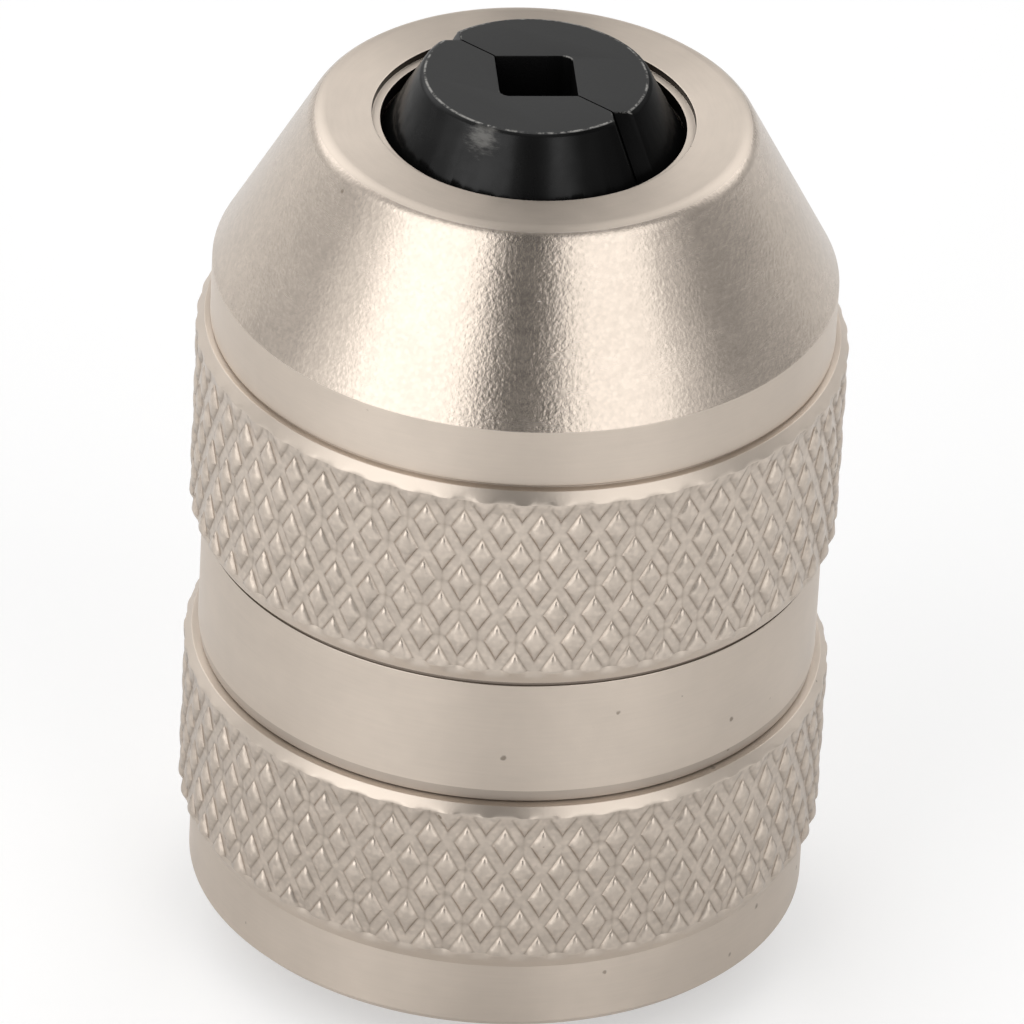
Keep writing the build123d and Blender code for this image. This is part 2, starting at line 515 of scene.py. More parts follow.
    def unwrap(self, piece: bpy.types.Object, faces: Sequence[Face]) -> None:
        """Lays the piece flat for a bake: columns run along U, and the section's length along V.

        Args:
            piece: The piece.
            faces: Its faces.
        """
        radius, height = np.array(self.radii).mean(1), np.array(self.heights).mean(1)
        steps = np.hypot(np.diff(radius), np.diff(height)) + MAP_STEP
        length = np.concatenate([[-MAP_POLE, 0.0], np.cumsum(steps)])
        whole = length[-1] + MAP_CLOSE
        length = np.append(length, whole)
        ring, column = np.array([corner for face in faces for corner in face]).T
        v = (length[ring.astype(int) + 1] + MAP_MARGIN) / (whole + 2 * MAP_MARGIN)
        flat = np.stack([column / (self.columns + 1), v], -1)
        layer = piece.data.uv_layers.new(name=BAKE_MAP)
        layer.data.foreach_set("uv", flat.astype(np.float32).ravel())


def loft(loops: Sequence[np.ndarray]) -> tuple[np.ndarray, list[tuple[int, ...]]]:
    """Skins a row of closed loops, which run counter-clockwise round the way they follow.

    Args:
        loops: The loops, each with the same number of points.

    Returns:
        The points, and the faces with both ends closed.
    """
    count, size = len(loops), len(loops[0])
    faces: list[tuple[int, ...]] = [tuple(range(size - 1, -1, -1))]
    for loop in range(count - 1):
        for point in range(size):
            beside = (point + 1) % size
            here, there = loop * size, (loop + 1) * size
            faces.append((here + point, here + beside, there + beside, there + point))
    faces.append(tuple((count - 1) * size + point for point in range(size)))
    return np.concatenate(loops), faces


def join_shells(
    shells: Sequence[tuple[np.ndarray, list[tuple[int, ...]]]],
) -> tuple[np.ndarray, list[tuple[int, ...]]]:
    """Puts several shells into one.

    Args:
        shells: Points and faces of each shell.

    Returns:
        The points of all shells, and their faces.
    """
    points, faces, first = [], [], 0
    for shell_points, shell_faces in shells:
        points.append(shell_points)
        faces += [tuple(first + corner for corner in face) for face in shell_faces]
        first += len(shell_points)
    return np.concatenate(points), faces


def bevelled_copy(
    node: bpy.types.Object, name: str, width: float, sharpest: float, split: float, worn_z: float
) -> bpy.types.Object:
    """Copies a machined part and breaks its sharp edges.

    Args:
        node: The part whose shape is copied.
        name: Name of the new piece.
        width: Width of the broken edges in millimetres.
        sharpest: Edges that turn by more than this angle in degrees are broken.
        split: Edges that lie this near the plane of the split, in millimetres, stay sharp.
        worn_z: Height in millimetres above which the broken edges are drawn lighter, as rubbing and
            painted highlight.

    Returns:
        The new piece, with an edge value on the rim edges that are drawn lighter, as rubbing and
        painted highlight.
    """
    merge, flat, rub_reach = 0.001, 0.4, 20.0
    points = np.array([vertex.co for vertex in node.data.vertices]) / MM
    piece = mesh_object(name, points, [tuple(face.vertices) for face in node.data.polygons])
    form = bmesh.new()
    form.from_mesh(piece.data)
    bmesh.ops.remove_doubles(form, verts=form.verts, dist=merge * MM)
    bmesh.ops.dissolve_limit(
        form, angle_limit=math.radians(flat), verts=form.verts, edges=form.edges
    )
    limit = math.radians(sharpest)
    sharp = [
        edge
        for edge in form.edges
        if edge.is_manifold
        and edge.calc_face_angle() > limit
        and max(abs(vertex.co.x) for vertex in edge.verts) > split * MM
    ]
    made = bmesh.ops.bevel(
        form,
        geom=sharp,
        offset=width * MM,
        segments=2,
        profile=0.5,
        affect="EDGES",
        clamp_overlap=True,
    )
    # Marks the rim edges that are drawn lighter, as rubbing and painted highlight.
    worn_and_lit = form.verts.layers.float.new("edge")
    broken = set(made["faces"])
    for vertex in form.verts:
        lightened = vertex.co.z > worn_z * MM and all(face in broken for face in vertex.link_faces)
        longest = max(edge.calc_length() for edge in vertex.link_edges)
        vertex[worn_and_lit] = 1.0 if lightened and longest < width * rub_reach * MM else 0.0
    form.to_mesh(piece.data)
    form.free()
    smooth(piece, JAW_ANGLE)
    return piece


class Graph:
    """Short ways to place and join the nodes of one tree."""

    def __init__(self, tree: bpy.types.NodeTree) -> None:
        """Starts on a tree."""
        self.tree = tree

    def node(
        self, kind: str, inputs: dict[str | int, object] | None = None, **settings: object
    ) -> bpy.types.Node:
        """Places a node.

        Args:
            kind: The node's type, without its leading word.
            inputs: Values or sockets for its inputs, by name or number.
            settings: Its other settings.

        Returns:
            The node.
        """
        made = self.tree.nodes.new("ShaderNode" + kind)
        for key, value in settings.items():
            setattr(made, key, value)
        for key, value in (inputs or {}).items():
            self.feed(made.inputs[key], value)
        return made

    def feed(self, socket: bpy.types.NodeSocket, value: object) -> None:
        """Joins a socket to another, or gives it a value.

        Args:
            socket: The socket that is fed.
            value: The other socket, or the value.
        """
        if isinstance(value, bpy.types.NodeSocket):
            self.tree.links.new(value, socket)
        else:
            socket.default_value = value

    def math(
        self, operation: str, first: object, second: object = 0.0, third: object = 0.0
    ) -> bpy.types.NodeSocket:
        """Gives the result of one sum."""
        return self.node("Math", {0: first, 1: second, 2: third}, operation=operation).outputs[0]

    def vector(self, operation: str, first: object, second: object) -> bpy.types.Node:
        """Places a node that works on two vectors."""
        return self.node("VectorMath", {0: first, 1: second}, operation=operation)

    def parts(self, vector: object) -> bpy.types.NodeOutputs:
        """Gives the three parts of a vector or colour."""
        return self.node("SeparateXYZ", {0: vector}).outputs

    def clear_rays(self) -> bpy.types.NodeSocket:
        """Tells the rays that reach the camera straight, or through something clear, from others.

        Returns:
            1 for such a ray, else 0.
        """
        path = self.node("LightPath").outputs
        return self.math("MAXIMUM", path["Is Camera Ray"], path["Is Transmission Ray"])

    def spread(self, value: object, ramp: Ramp) -> bpy.types.NodeSocket:
        """Spreads a range of values smoothly over another range.

        Args:
            value: The value's socket.
            ramp: Start and end of its range, and the results at them.

        Returns:
            The result's socket.
        """
        ends = dict(zip(("From Min", "From Max", "To Min", "To Max"), ramp))
        made = self.node("MapRange", {"Value": value, **ends}, interpolation_type="SMOOTHSTEP")
        return made.outputs["Result"]

    def mix(self, share: object, first: object, second: object) -> bpy.types.NodeSocket:
        """Mixes two colours.

        Args:
            share: Share of the second colour.
            first: The first colour.
            second: The second colour.

        Returns:
            The mixed colour's socket.
        """
        made = self.tree.nodes.new("ShaderNodeMix")
        made.data_type = "RGBA"
        for name, value in (("Factor_Float", share), ("A_Color", first), ("B_Color", second)):
            socket = next(item for item in made.inputs if item.identifier == name)
            self.feed(socket, value)
        return next(item for item in made.outputs if item.identifier == "Result_Color")

    def scaled(self, vector: object, scale: object) -> bpy.types.NodeSocket:
        """Makes a vector longer or shorter."""
        return self.node("VectorMath", {0: vector, "Scale": scale}, operation="SCALE").outputs[0]

    def noise(
        self, vector: object, scale: object, detail: float, rough: float
    ) -> bpy.types.NodeSocket:
        """Gives the height of a cloud of noise."""
        inputs = {"Vector": vector, "Scale": scale, "Detail": detail, "Roughness": rough}
        return self.node("TexNoise", inputs).outputs[0]


class Effects:
    """Surface effects that several metals share, each a node group that is made once."""

    def __init__(self) -> None:
        """Makes the groups."""
        self.turning = self.make_turning()
        self.grain = self.make_grain()
        self.clouds = self.make_clouds()
        self.specks = self.make_specks()
        self.wear = self.make_wear_and_highlight()
        self.film = self.make_film()
        self.spot = self.make_painted_highlight()

    @staticmethod
    def start(
        name: str, inputs: dict[str, float | None], outputs: Sequence[str]
    ) -> tuple[Graph, dict[str, bpy.types.NodeSocket], bpy.types.Node]:
        """Starts a group.

        Args:
            name: Name of the group.
            inputs: Its inputs with their values, where None stands for a vector.
            outputs: Names of its outputs, all plain values.

        Returns:
            The group's graph, its inputs by name, and its output node.
        """
        tree = bpy.data.node_groups.new(name, "ShaderNodeTree")
        for key, value in inputs.items():
            kind = "NodeSocketVector" if value is None else "NodeSocketFloat"
            socket = tree.interface.new_socket(key, in_out="INPUT", socket_type=kind)
            if value is not None:
                socket.default_value = value
        for key in outputs:
            tree.interface.new_socket(key, in_out="OUTPUT", socket_type="NodeSocketFloat")
        graph = Graph(tree)
        given = tree.nodes.new("NodeGroupInput")
        sent = tree.nodes.new("NodeGroupOutput")
        return graph, {key: given.outputs[key] for key in inputs}, sent

    def make_turning(self) -> bpy.types.NodeTree:
        """Makes the fine lines that a lathe or a polishing belt leaves round the axis.

        Returns:
            The group. Reach makes the lines shorter, and Density is their number in a millimetre.
        """
        graph, given, sent = self.start(
            "Turning lines", {"Place": None, "Reach": 6.0, "Density": 8.0}, ["Lines"]
        )
        axes = graph.parts(given["Place"])
        squares = [graph.math("MULTIPLY", axis, axis) for axis in axes[:2]]
        radius = graph.math("SQRT", graph.math("ADD", graph.math("ADD", *squares), LEAST_ROUND))
        along = [
            graph.math("MULTIPLY", graph.math("DIVIDE", axis, radius), given["Reach"])
            for axis in axes[:2]
        ]
        across = graph.math("MULTIPLY", graph.math("ADD", axes[2], radius), given["Density"])
        place = graph.node("CombineXYZ", {0: along[0], 1: along[1], 2: across}).outputs[0]
        graph.feed(sent.inputs["Lines"], graph.noise(place, scale=1.0, detail=3.0, rough=0.65))
        return graph.tree

    def make_grain(self) -> bpy.types.NodeTree:
        """Makes the fine uneven grain of a satin metal.

        Returns:
            The group. Grain is its height, and Glint a fixed random value for each of its cells.
        """
        cell_share = 0.45
        graph, given, sent = self.start(
            "Satin grain", {"Place": None, "Fineness": 8.0}, ["Grain", "Glint"]
        )
        where = {"Vector": given["Place"], "Scale": given["Fineness"]}
        cells = graph.node("TexVoronoi", where, feature="SMOOTH_F1").outputs
        soft = graph.noise(given["Place"], given["Fineness"], detail=3.0, rough=0.6)
        grain = graph.math("ADD", graph.math("MULTIPLY", cells[0], cell_share), soft)
        graph.feed(sent.inputs["Grain"], grain)
        graph.feed(sent.inputs["Glint"], graph.parts(cells["Color"])[0])
        return graph.tree

    def make_clouds(self) -> bpy.types.NodeTree:
        """Makes a slow change over a surface.

        Returns:
            The group.
        """
        graph, given, sent = self.start("Soft clouds", {"Place": None, "Size": 0.3}, ["Clouds"])
        clouds = graph.noise(given["Place"], given["Size"], detail=3.0, rough=0.6)
        graph.feed(sent.inputs["Clouds"], clouds)
        return graph.tree

    def make_specks(self) -> bpy.types.NodeTree:
        """Makes scattered small spots of dirt or pitting.

        Returns:
            The group. Amount is the share of its cells that hold a spot, and Reach a spot's size.
        """
        least_size, steepness, raggedness = 0.3, 2.2, 0.12
        graph, given, sent = self.start(
            "Specks", {"Place": None, "Fineness": 1.3, "Amount": 0.1, "Reach": 0.14}, ["Specks"]
        )
        where = {"Vector": given["Place"], "Scale": 6.0, "Detail": 1.0}
        ruffle = graph.node("TexNoise", where).outputs["Color"]
        bent = graph.vector("ADD", graph.scaled(ruffle, raggedness), given["Place"]).outputs[0]
        cells = graph.node("TexVoronoi", {"Vector": bent, "Scale": given["Fineness"]}).outputs
        chance = graph.parts(cells["Color"])
        chosen = graph.math("LESS_THAN", chance[0], given["Amount"])
        size = graph.math("MULTIPLY", given["Reach"], graph.math("ADD", chance[1], least_size))
        near = graph.math("SUBTRACT", 1.0, graph.math("DIVIDE", cells["Distance"], size))
        spot = graph.math("MULTIPLY", graph.math("MAXIMUM", near, 0.0), steepness)
        shown = graph.math("MULTIPLY", chosen, graph.math("MINIMUM", spot, 1.0))
        graph.feed(sent.inputs["Specks"], shown)
        return graph.tree

    def make_wear_and_highlight(self) -> bpy.types.NodeTree:
        """Makes the broken lighter line along edges: rubbing, which on the jaw's rims is also a
        painted highlight.

        Returns:
            The group. Edge is 1 on an edge, and Amount is how much of it is drawn lighter.
        """
        top, swing, steepness = 0.78, 0.45, 8.0
        graph, given, sent = self.start(
            "Edge wear and highlight", {"Place": None, "Edge": 0.0, "Amount": 0.5}, ["Wear"]
        )
        lightened = graph.noise(given["Place"], scale=2.6, detail=4.0, rough=0.7)
        limit = graph.math("SUBTRACT", top, graph.math("MULTIPLY", given["Amount"], swing))
        patch = graph.math("MULTIPLY", graph.math("SUBTRACT", lightened, limit), steepness)
        held = graph.math("MINIMUM", graph.math("MAXIMUM", patch, 0.0), 1.0)
        graph.feed(sent.inputs["Wear"], graph.math("MULTIPLY", held, given["Edge"]))
        return graph.tree

    def make_film(self) -> bpy.types.NodeTree:
        """Makes a thin film of oil that has been wiped off on one side.

        Returns:
            The group. Side is the direction in which the film is left.
        """
        wiping, patching = (-0.42, -0.2, 0.12, 1.0), (0.3, 0.7, 0.75, 1.0)
        graph, given, sent = self.start("Oil film", {"Place": None, "Side": None}, ["Film"])
        flat = graph.vector("MULTIPLY", given["Place"], (1.0, 1.0, 0.0)).outputs[0]
        way = graph.node("VectorMath", {0: flat}, operation="NORMALIZE").outputs[0]
        side = graph.vector("DOT_PRODUCT", way, given["Side"]).outputs["Value"]
        wiped = graph.spread(side, wiping)
        patches = graph.noise(given["Place"], scale=0.9, detail=3.0, rough=0.6)
        patches = graph.spread(patches, patching)
        graph.feed(sent.inputs["Film"], graph.math("MULTIPLY", wiped, patches))
        return graph.tree

    def make_painted_highlight(self) -> bpy.types.NodeTree:
        """Makes one painted highlight spot with a ragged edge, drawn out round the axis.

        Returns:
            The group. Spot is its middle, and Reach its half width.
        """
        raggedness, drawing = 2.0, (1.0, 1.0, 4.0)
        graph, given, sent = self.start(
            "Rubbed spot", {"Place": None, "Spot": None, "Reach": 0.7}, ["Rubbed"]
        )
        far = graph.vector("DISTANCE", given["Place"], given["Spot"]).outputs["Value"]
        drawn_out = graph.vector("MULTIPLY", given["Place"], drawing).outputs[0]
        ragged = graph.noise(drawn_out, scale=2.2, detail=4.0, rough=0.7)
        ragged = graph.math("SUBTRACT", ragged, 0.5)
        away = graph.math("DIVIDE", far, given["Reach"])
        edge = graph.math("MULTIPLY_ADD", ragged, -raggedness, away)
        graph.feed(sent.inputs["Rubbed"], graph.spread(edge, (0.0, 1.0, 1.0, 0.0)))
        return graph.tree


NICKEL = (0.61, 0.53, 0.455)
NICKEL_BRIGHT = (0.65, 0.567, 0.487)
# Dark colour of grime and specks, of the painted shade in the knurl's grooves, and of the edges in
# the painted-shade relief and recess.
NICKEL_DIRT_AND_SHADE = (0.13, 0.095, 0.065)
NICKEL_WORN = (0.8, 0.74, 0.66)
OXIDE_STAIN = (0.16, 0.155, 0.15)
# Lighter colour of the jaw's rim edges and of its bright spot: partly rubbing, partly painted
# highlight.
OXIDE_WORN_AND_LIT = (0.34, 0.33, 0.31)


@dataclass(frozen=True)
class Metal:
    """Finish of one machined surface. Lengths of its small detail are in millimetres.

    Attributes:
        name: Name of the material.
        colour: Its own colour.
        roughness: Roughness of the clean surface.
        dirt_and_shade_colour: Colour of grime and specks, and of the painted shade in the knurl's
            grooves.
        worn_and_lit: Colour of the lighter edges, partly rubbing and on the jaw's rims partly
            painted highlight, and of the painted highlight spot.
        metallic: 1 for bare metal and 0 for a black oxide skin.
        brushed: How far the sheen is drawn out across the turning lines.
        uneven_roughness: How much the roughness changes with the clouds and the lines.
        tone: How much the brightness changes with the clouds.
        cloud_size: Clouds in a millimetre.
        reach: How short the turning lines are.
        line_density: Turning lines in a millimetre.
        line_height: Height of the lines.
        line_tone: How much the brightness changes with the lines.
        grain_fineness: Grains in a millimetre.
        grain_height: Height of the grain.
        glint: How much the brightness changes from grain to grain.
        groove_dirt_and_shade: How dark the foot of the knurl's groove walls is painted, as grime
            and painted shade.
        speck_amount: Share of the speck cells that hold one.
        speck_strength: How dark the specks are.
        wear: How much of the edges is drawn lighter, as rubbing and on the jaw's rims as painted
            highlight.
        worn_roughness: Roughness where it is rubbed.
        specular: Specular level of a skin that isn't metal.
        oil: How thick the film of oil is.
        oil_side: Direction in which it is left.
        spot: Middle of a painted highlight spot on the jaw, where a lamp's reflection falls.
        spot_strength: How bright the painted highlight is.
    """

    name: str
    colour: Triple
    roughness: float
    dirt_and_shade_colour: Triple = NICKEL_DIRT_AND_SHADE
    worn_and_lit: Triple = NICKEL_WORN
    metallic: float = 1.0
    brushed: float = 0.0
    uneven_roughness: float = 0.08
    tone: float = 0.10
    cloud_size: float = 0.35
    reach: float = 5.0
    line_density: float = 9.0
    line_height: float = 0.001
    line_tone: float = 0.05
    grain_fineness: float = 9.0
    grain_height: float = 0.002
    glint: float = 0.0
    groove_dirt_and_shade: float = 0.0
    speck_amount: float = 0.06
    speck_strength: float = 0.6
    wear: float = 0.0
    worn_roughness: float = 0.25
    specular: float = 0.5
    oil: float = 0.0
    oil_side: Triple = (0.0, 0.0, 0.0)
    spot: Triple = (0.0, 0.0, 0.0)
    spot_strength: float = 0.0

    def material(self, effects: Effects) -> bpy.types.Material:
        """Makes the material.

        Args:
            effects: The shared effects.

        Returns:
            The material, with its colour, roughness and fine relief from its nodes.
        """
        dirt_and_shade_fall, dirt_and_shade_roughness, oil_roughness, round_turn = 1.6, 0.3, 0.2, 0.25
        dirt_and_shade_patches = (0.35, 0.65, 0.75, 1.1)
        made = bpy.data.materials.new(self.name)
        made.use_nodes = True
        tree = made.node_tree
        tree.nodes.clear()
        graph = Graph(tree)
        place = graph.scaled(graph.node("TexCoord").outputs["Object"], 1.0 / MM)
        turned = {"Place": place, "Reach": self.reach, "Density": self.line_density}
        lines = self.use(graph, effects.turning, **turned)["Lines"]
        fine = self.use(graph, effects.grain, Place=place, Fineness=self.grain_fineness)
        clouds = self.use(graph, effects.clouds, Place=place, Size=self.cloud_size)["Clouds"]
        specks = self.use(graph, effects.specks, Place=place, Amount=self.speck_amount)["Specks"]
        groove = graph.node("Attribute", attribute_name="groove").outputs["Fac"]
        edge = graph.node("Attribute", attribute_name="edge").outputs["Fac"]
        wear = self.use(graph, effects.wear, Place=place, Edge=edge, Amount=self.wear)["Wear"]
        cloud_swing = graph.math("SUBTRACT", clouds, 0.5)
        line_swing = graph.math("SUBTRACT", lines, 0.5)
        glint_swing = graph.math("SUBTRACT", fine["Glint"], 0.5)

        tone = graph.math("MULTIPLY_ADD", cloud_swing, 2 * self.tone, 1.0)
        tone = graph.math("MULTIPLY_ADD", line_swing, 2 * self.line_tone, tone)
        tone = graph.math("MULTIPLY_ADD", glint_swing, self.glint, tone)
        base = graph.scaled(self.colour, tone)
        # Grime and painted shade: darker along the foot of the knurl's groove walls and in some
        # pits, together with the specks.
        dirt_and_shade = graph.math("MULTIPLY", graph.math("POWER", groove, dirt_and_shade_fall), self.groove_dirt_and_shade)
        dirt_and_shade = graph.math("MULTIPLY", dirt_and_shade, graph.spread(clouds, dirt_and_shade_patches))
        dirt_and_shade = graph.math("MAXIMUM", dirt_and_shade, graph.math("MULTIPLY", specks, self.speck_strength))
        dirt_and_shade = graph.math("MINIMUM", dirt_and_shade, 1.0)
        colour = graph.mix(dirt_and_shade, base, (*self.dirt_and_shade_colour, 1.0))
        # Lighter edges: rubbing, and on the jaw's rims also a painted highlight.
        colour = graph.mix(wear, colour, (*self.worn_and_lit, 1.0))
        # Painted highlight: a lighter spot in the edge colour stands for a lamp's reflection on the
        # jaw's cone under its rim.
        if self.spot_strength > 0.0:
            lightened = self.use(graph, effects.spot, Place=place, Spot=self.spot)["Rubbed"]
            lightened = graph.math("MULTIPLY", lightened, self.spot_strength)
            colour = graph.mix(lightened, colour, (*self.worn_and_lit, 1.0))

        rough = graph.math("MULTIPLY_ADD", cloud_swing, self.uneven_roughness, self.roughness)
        rough = graph.math("MULTIPLY_ADD", line_swing, self.uneven_roughness, rough)
        rough = graph.math("MULTIPLY_ADD", dirt_and_shade, dirt_and_shade_roughness, rough)
        rough = graph.math("MULTIPLY_ADD", wear, self.worn_roughness - self.roughness, rough)

        height = graph.math("MULTIPLY", lines, self.line_height)
        height = graph.math("MULTIPLY_ADD", fine["Grain"], self.grain_height, height)
        relief = graph.node("Bump", {"Height": height, "Strength": 1.0, "Distance": MM})
        shader = graph.node(
            "BsdfPrincipled",
            {
                "Base Color": colour,
                "Roughness": rough,
                "Normal": relief.outputs[0],
                "Metallic": self.metallic,
            },
        )
        if self.brushed > 0.0:
            shader.inputs["Anisotropic"].default_value = self.brushed
            shader.inputs["Anisotropic Rotation"].default_value = round_turn
            round_axis = graph.node("Tangent", direction_type="RADIAL", axis="Z")
            graph.feed(shader.inputs["Tangent"], round_axis.outputs[0])
        shader.inputs["Specular IOR Level"].default_value = self.specular
        if self.oil > 0.0:
            film = self.use(graph, effects.film, Place=place, Side=self.oil_side)["Film"]
            graph.feed(shader.inputs["Coat Weight"], graph.math("MULTIPLY", film, self.oil))
            shader.inputs["Coat Roughness"].default_value = oil_roughness
        graph.node("OutputMaterial", {"Surface": shader.outputs[0]})
        return made

    @staticmethod
    def use(
        graph: Graph, effect: bpy.types.NodeTree, **values: object
    ) -> bpy.types.NodeOutputs:
        """Places a shared effect.

        Args:
            graph: The material's graph.
            effect: The effect's group.
            values: Values or sockets for its inputs, by name.

        Returns:
            The effect's outputs.
        """
        made = graph.node("Group", node_tree=effect)
        for key, value in values.items():
            graph.feed(made.inputs[key], value)
        return made.outputs


@dataclass(frozen=True)
class Thread:
    """Screw thread between cap and body, as ridges of a 60 degree form.

    Attributes:
        pitch: Rise of one turn.
        pitch_radius: Radius at which a ridge has its half width.
        half_width: Half width of a ridge there.
        flank: How fast a ridge thins towards its crest.
        steps: Outlines in one turn.
    """

    pitch: float = 1.0
    pitch_radius: float = 8.7
    half_width: float = 0.22
    flank: float = math.tan(math.radians(30.0))
    steps: int = 90

    def width(self, radius: float, outward: bool) -> float:
        """Finds the half width of a ridge.

        Args:
            radius: The radius at which it is asked.
            outward: True for a ridge that thins as the radius grows.

        Returns:
            The half width.
        """
        thinner = radius - self.pitch_radius if outward else self.pitch_radius - radius
        return self.half_width - thinner * self.flank

    def loop(self, turn: float, height: float, root: float, crest: float) -> np.ndarray:
        """Makes the outline of a ridge where it crosses one half-plane through the axis.

        Args:
            turn: Place of the half-plane, in turns.
            height: Height of the ridge's middle.
            root: Radius of its root.
            crest: Radius of its crest.

        Returns:
            The outline's four points.
        """
        outward = crest > root
        low, high = self.width(root, outward), self.width(crest, outward)
        if outward:
            outline = ((root, low), (crest, high), (crest, -high), (root, -low))
        else:
            outline = ((crest, high), (root, low), (root, -low), (crest, -high))
        angle = 2 * math.pi * turn
        return np.array(
            [(r * math.cos(angle), r * math.sin(angle), height + z) for r, z in outline]
        )


@dataclass(frozen=True)
class GripEdges:
    """How a grip's ends fall to the bands beside it: a chamfer, a step and a tool's relief."""

    upper_drop: float = 0.3
    upper_length: float = 0.42
    lower_drop: float = 0.4
    lower_length: float = 0.65
    relief_depth: float = 0.08
    relief_height: float = 0.1
    lower_relief_height: float = 0.2

    def upper(self, grip_radius: float, band_radius: float, end_z: float) -> list[Corner]:
        """Makes the corners from the end of a knurl up to the band above it.

        Args:
            grip_radius: Radius over the knurl.
            band_radius: Radius of the band.
            end_z: Height of the knurl's end.

        Returns:
            The corners, from the grip to the band.
        """
        foot_z = end_z + self.upper_length
        low = band_radius - self.relief_depth
        return [
            Corner(grip_radius, end_z, bend=0.06, cuts=2),
            Corner(grip_radius - self.upper_drop, foot_z, bend=0.03),
            # The relief's wall takes the darker bore finish, painted shade in the relief over the
            # grip.
            Corner(low, foot_z, zone=Zone.BORE, bend=0.01),
            Corner(low, foot_z + self.relief_height, bend=0.01),
            Corner(band_radius, foot_z + self.relief_height, bend=0.03, cuts=2),
        ]

    def lower(self, grip_radius: float, band_radius: float, end_z: float) -> list[Corner]:
        """Makes the corners from the band below a grip up to the end of its knurl.

        Args:
            grip_radius: Radius over the knurl.
            band_radius: Radius of the band.
            end_z: Height of the knurl's end.

        Returns:
            The corners, from the band to the grip.
        """
        foot_z = end_z - self.lower_length
        low = band_radius - self.relief_depth
        relief_z = foot_z - self.lower_relief_height
        return [
            # The relief runs take the relief finish, whose darker nickel is painted shade.
            Corner(band_radius, relief_z, zone=Zone.RELIEF, bend=0.03),
            Corner(low, relief_z, zone=Zone.RELIEF, bend=0.01),
            Corner(low, foot_z, zone=Zone.RELIEF, bend=0.01),
            Corner(grip_radius - self.lower_drop, foot_z, bend=0.03, cuts=3),
            Corner(grip_radius, end_z, zone=Zone.KNURL, bend=0.06),
        ]


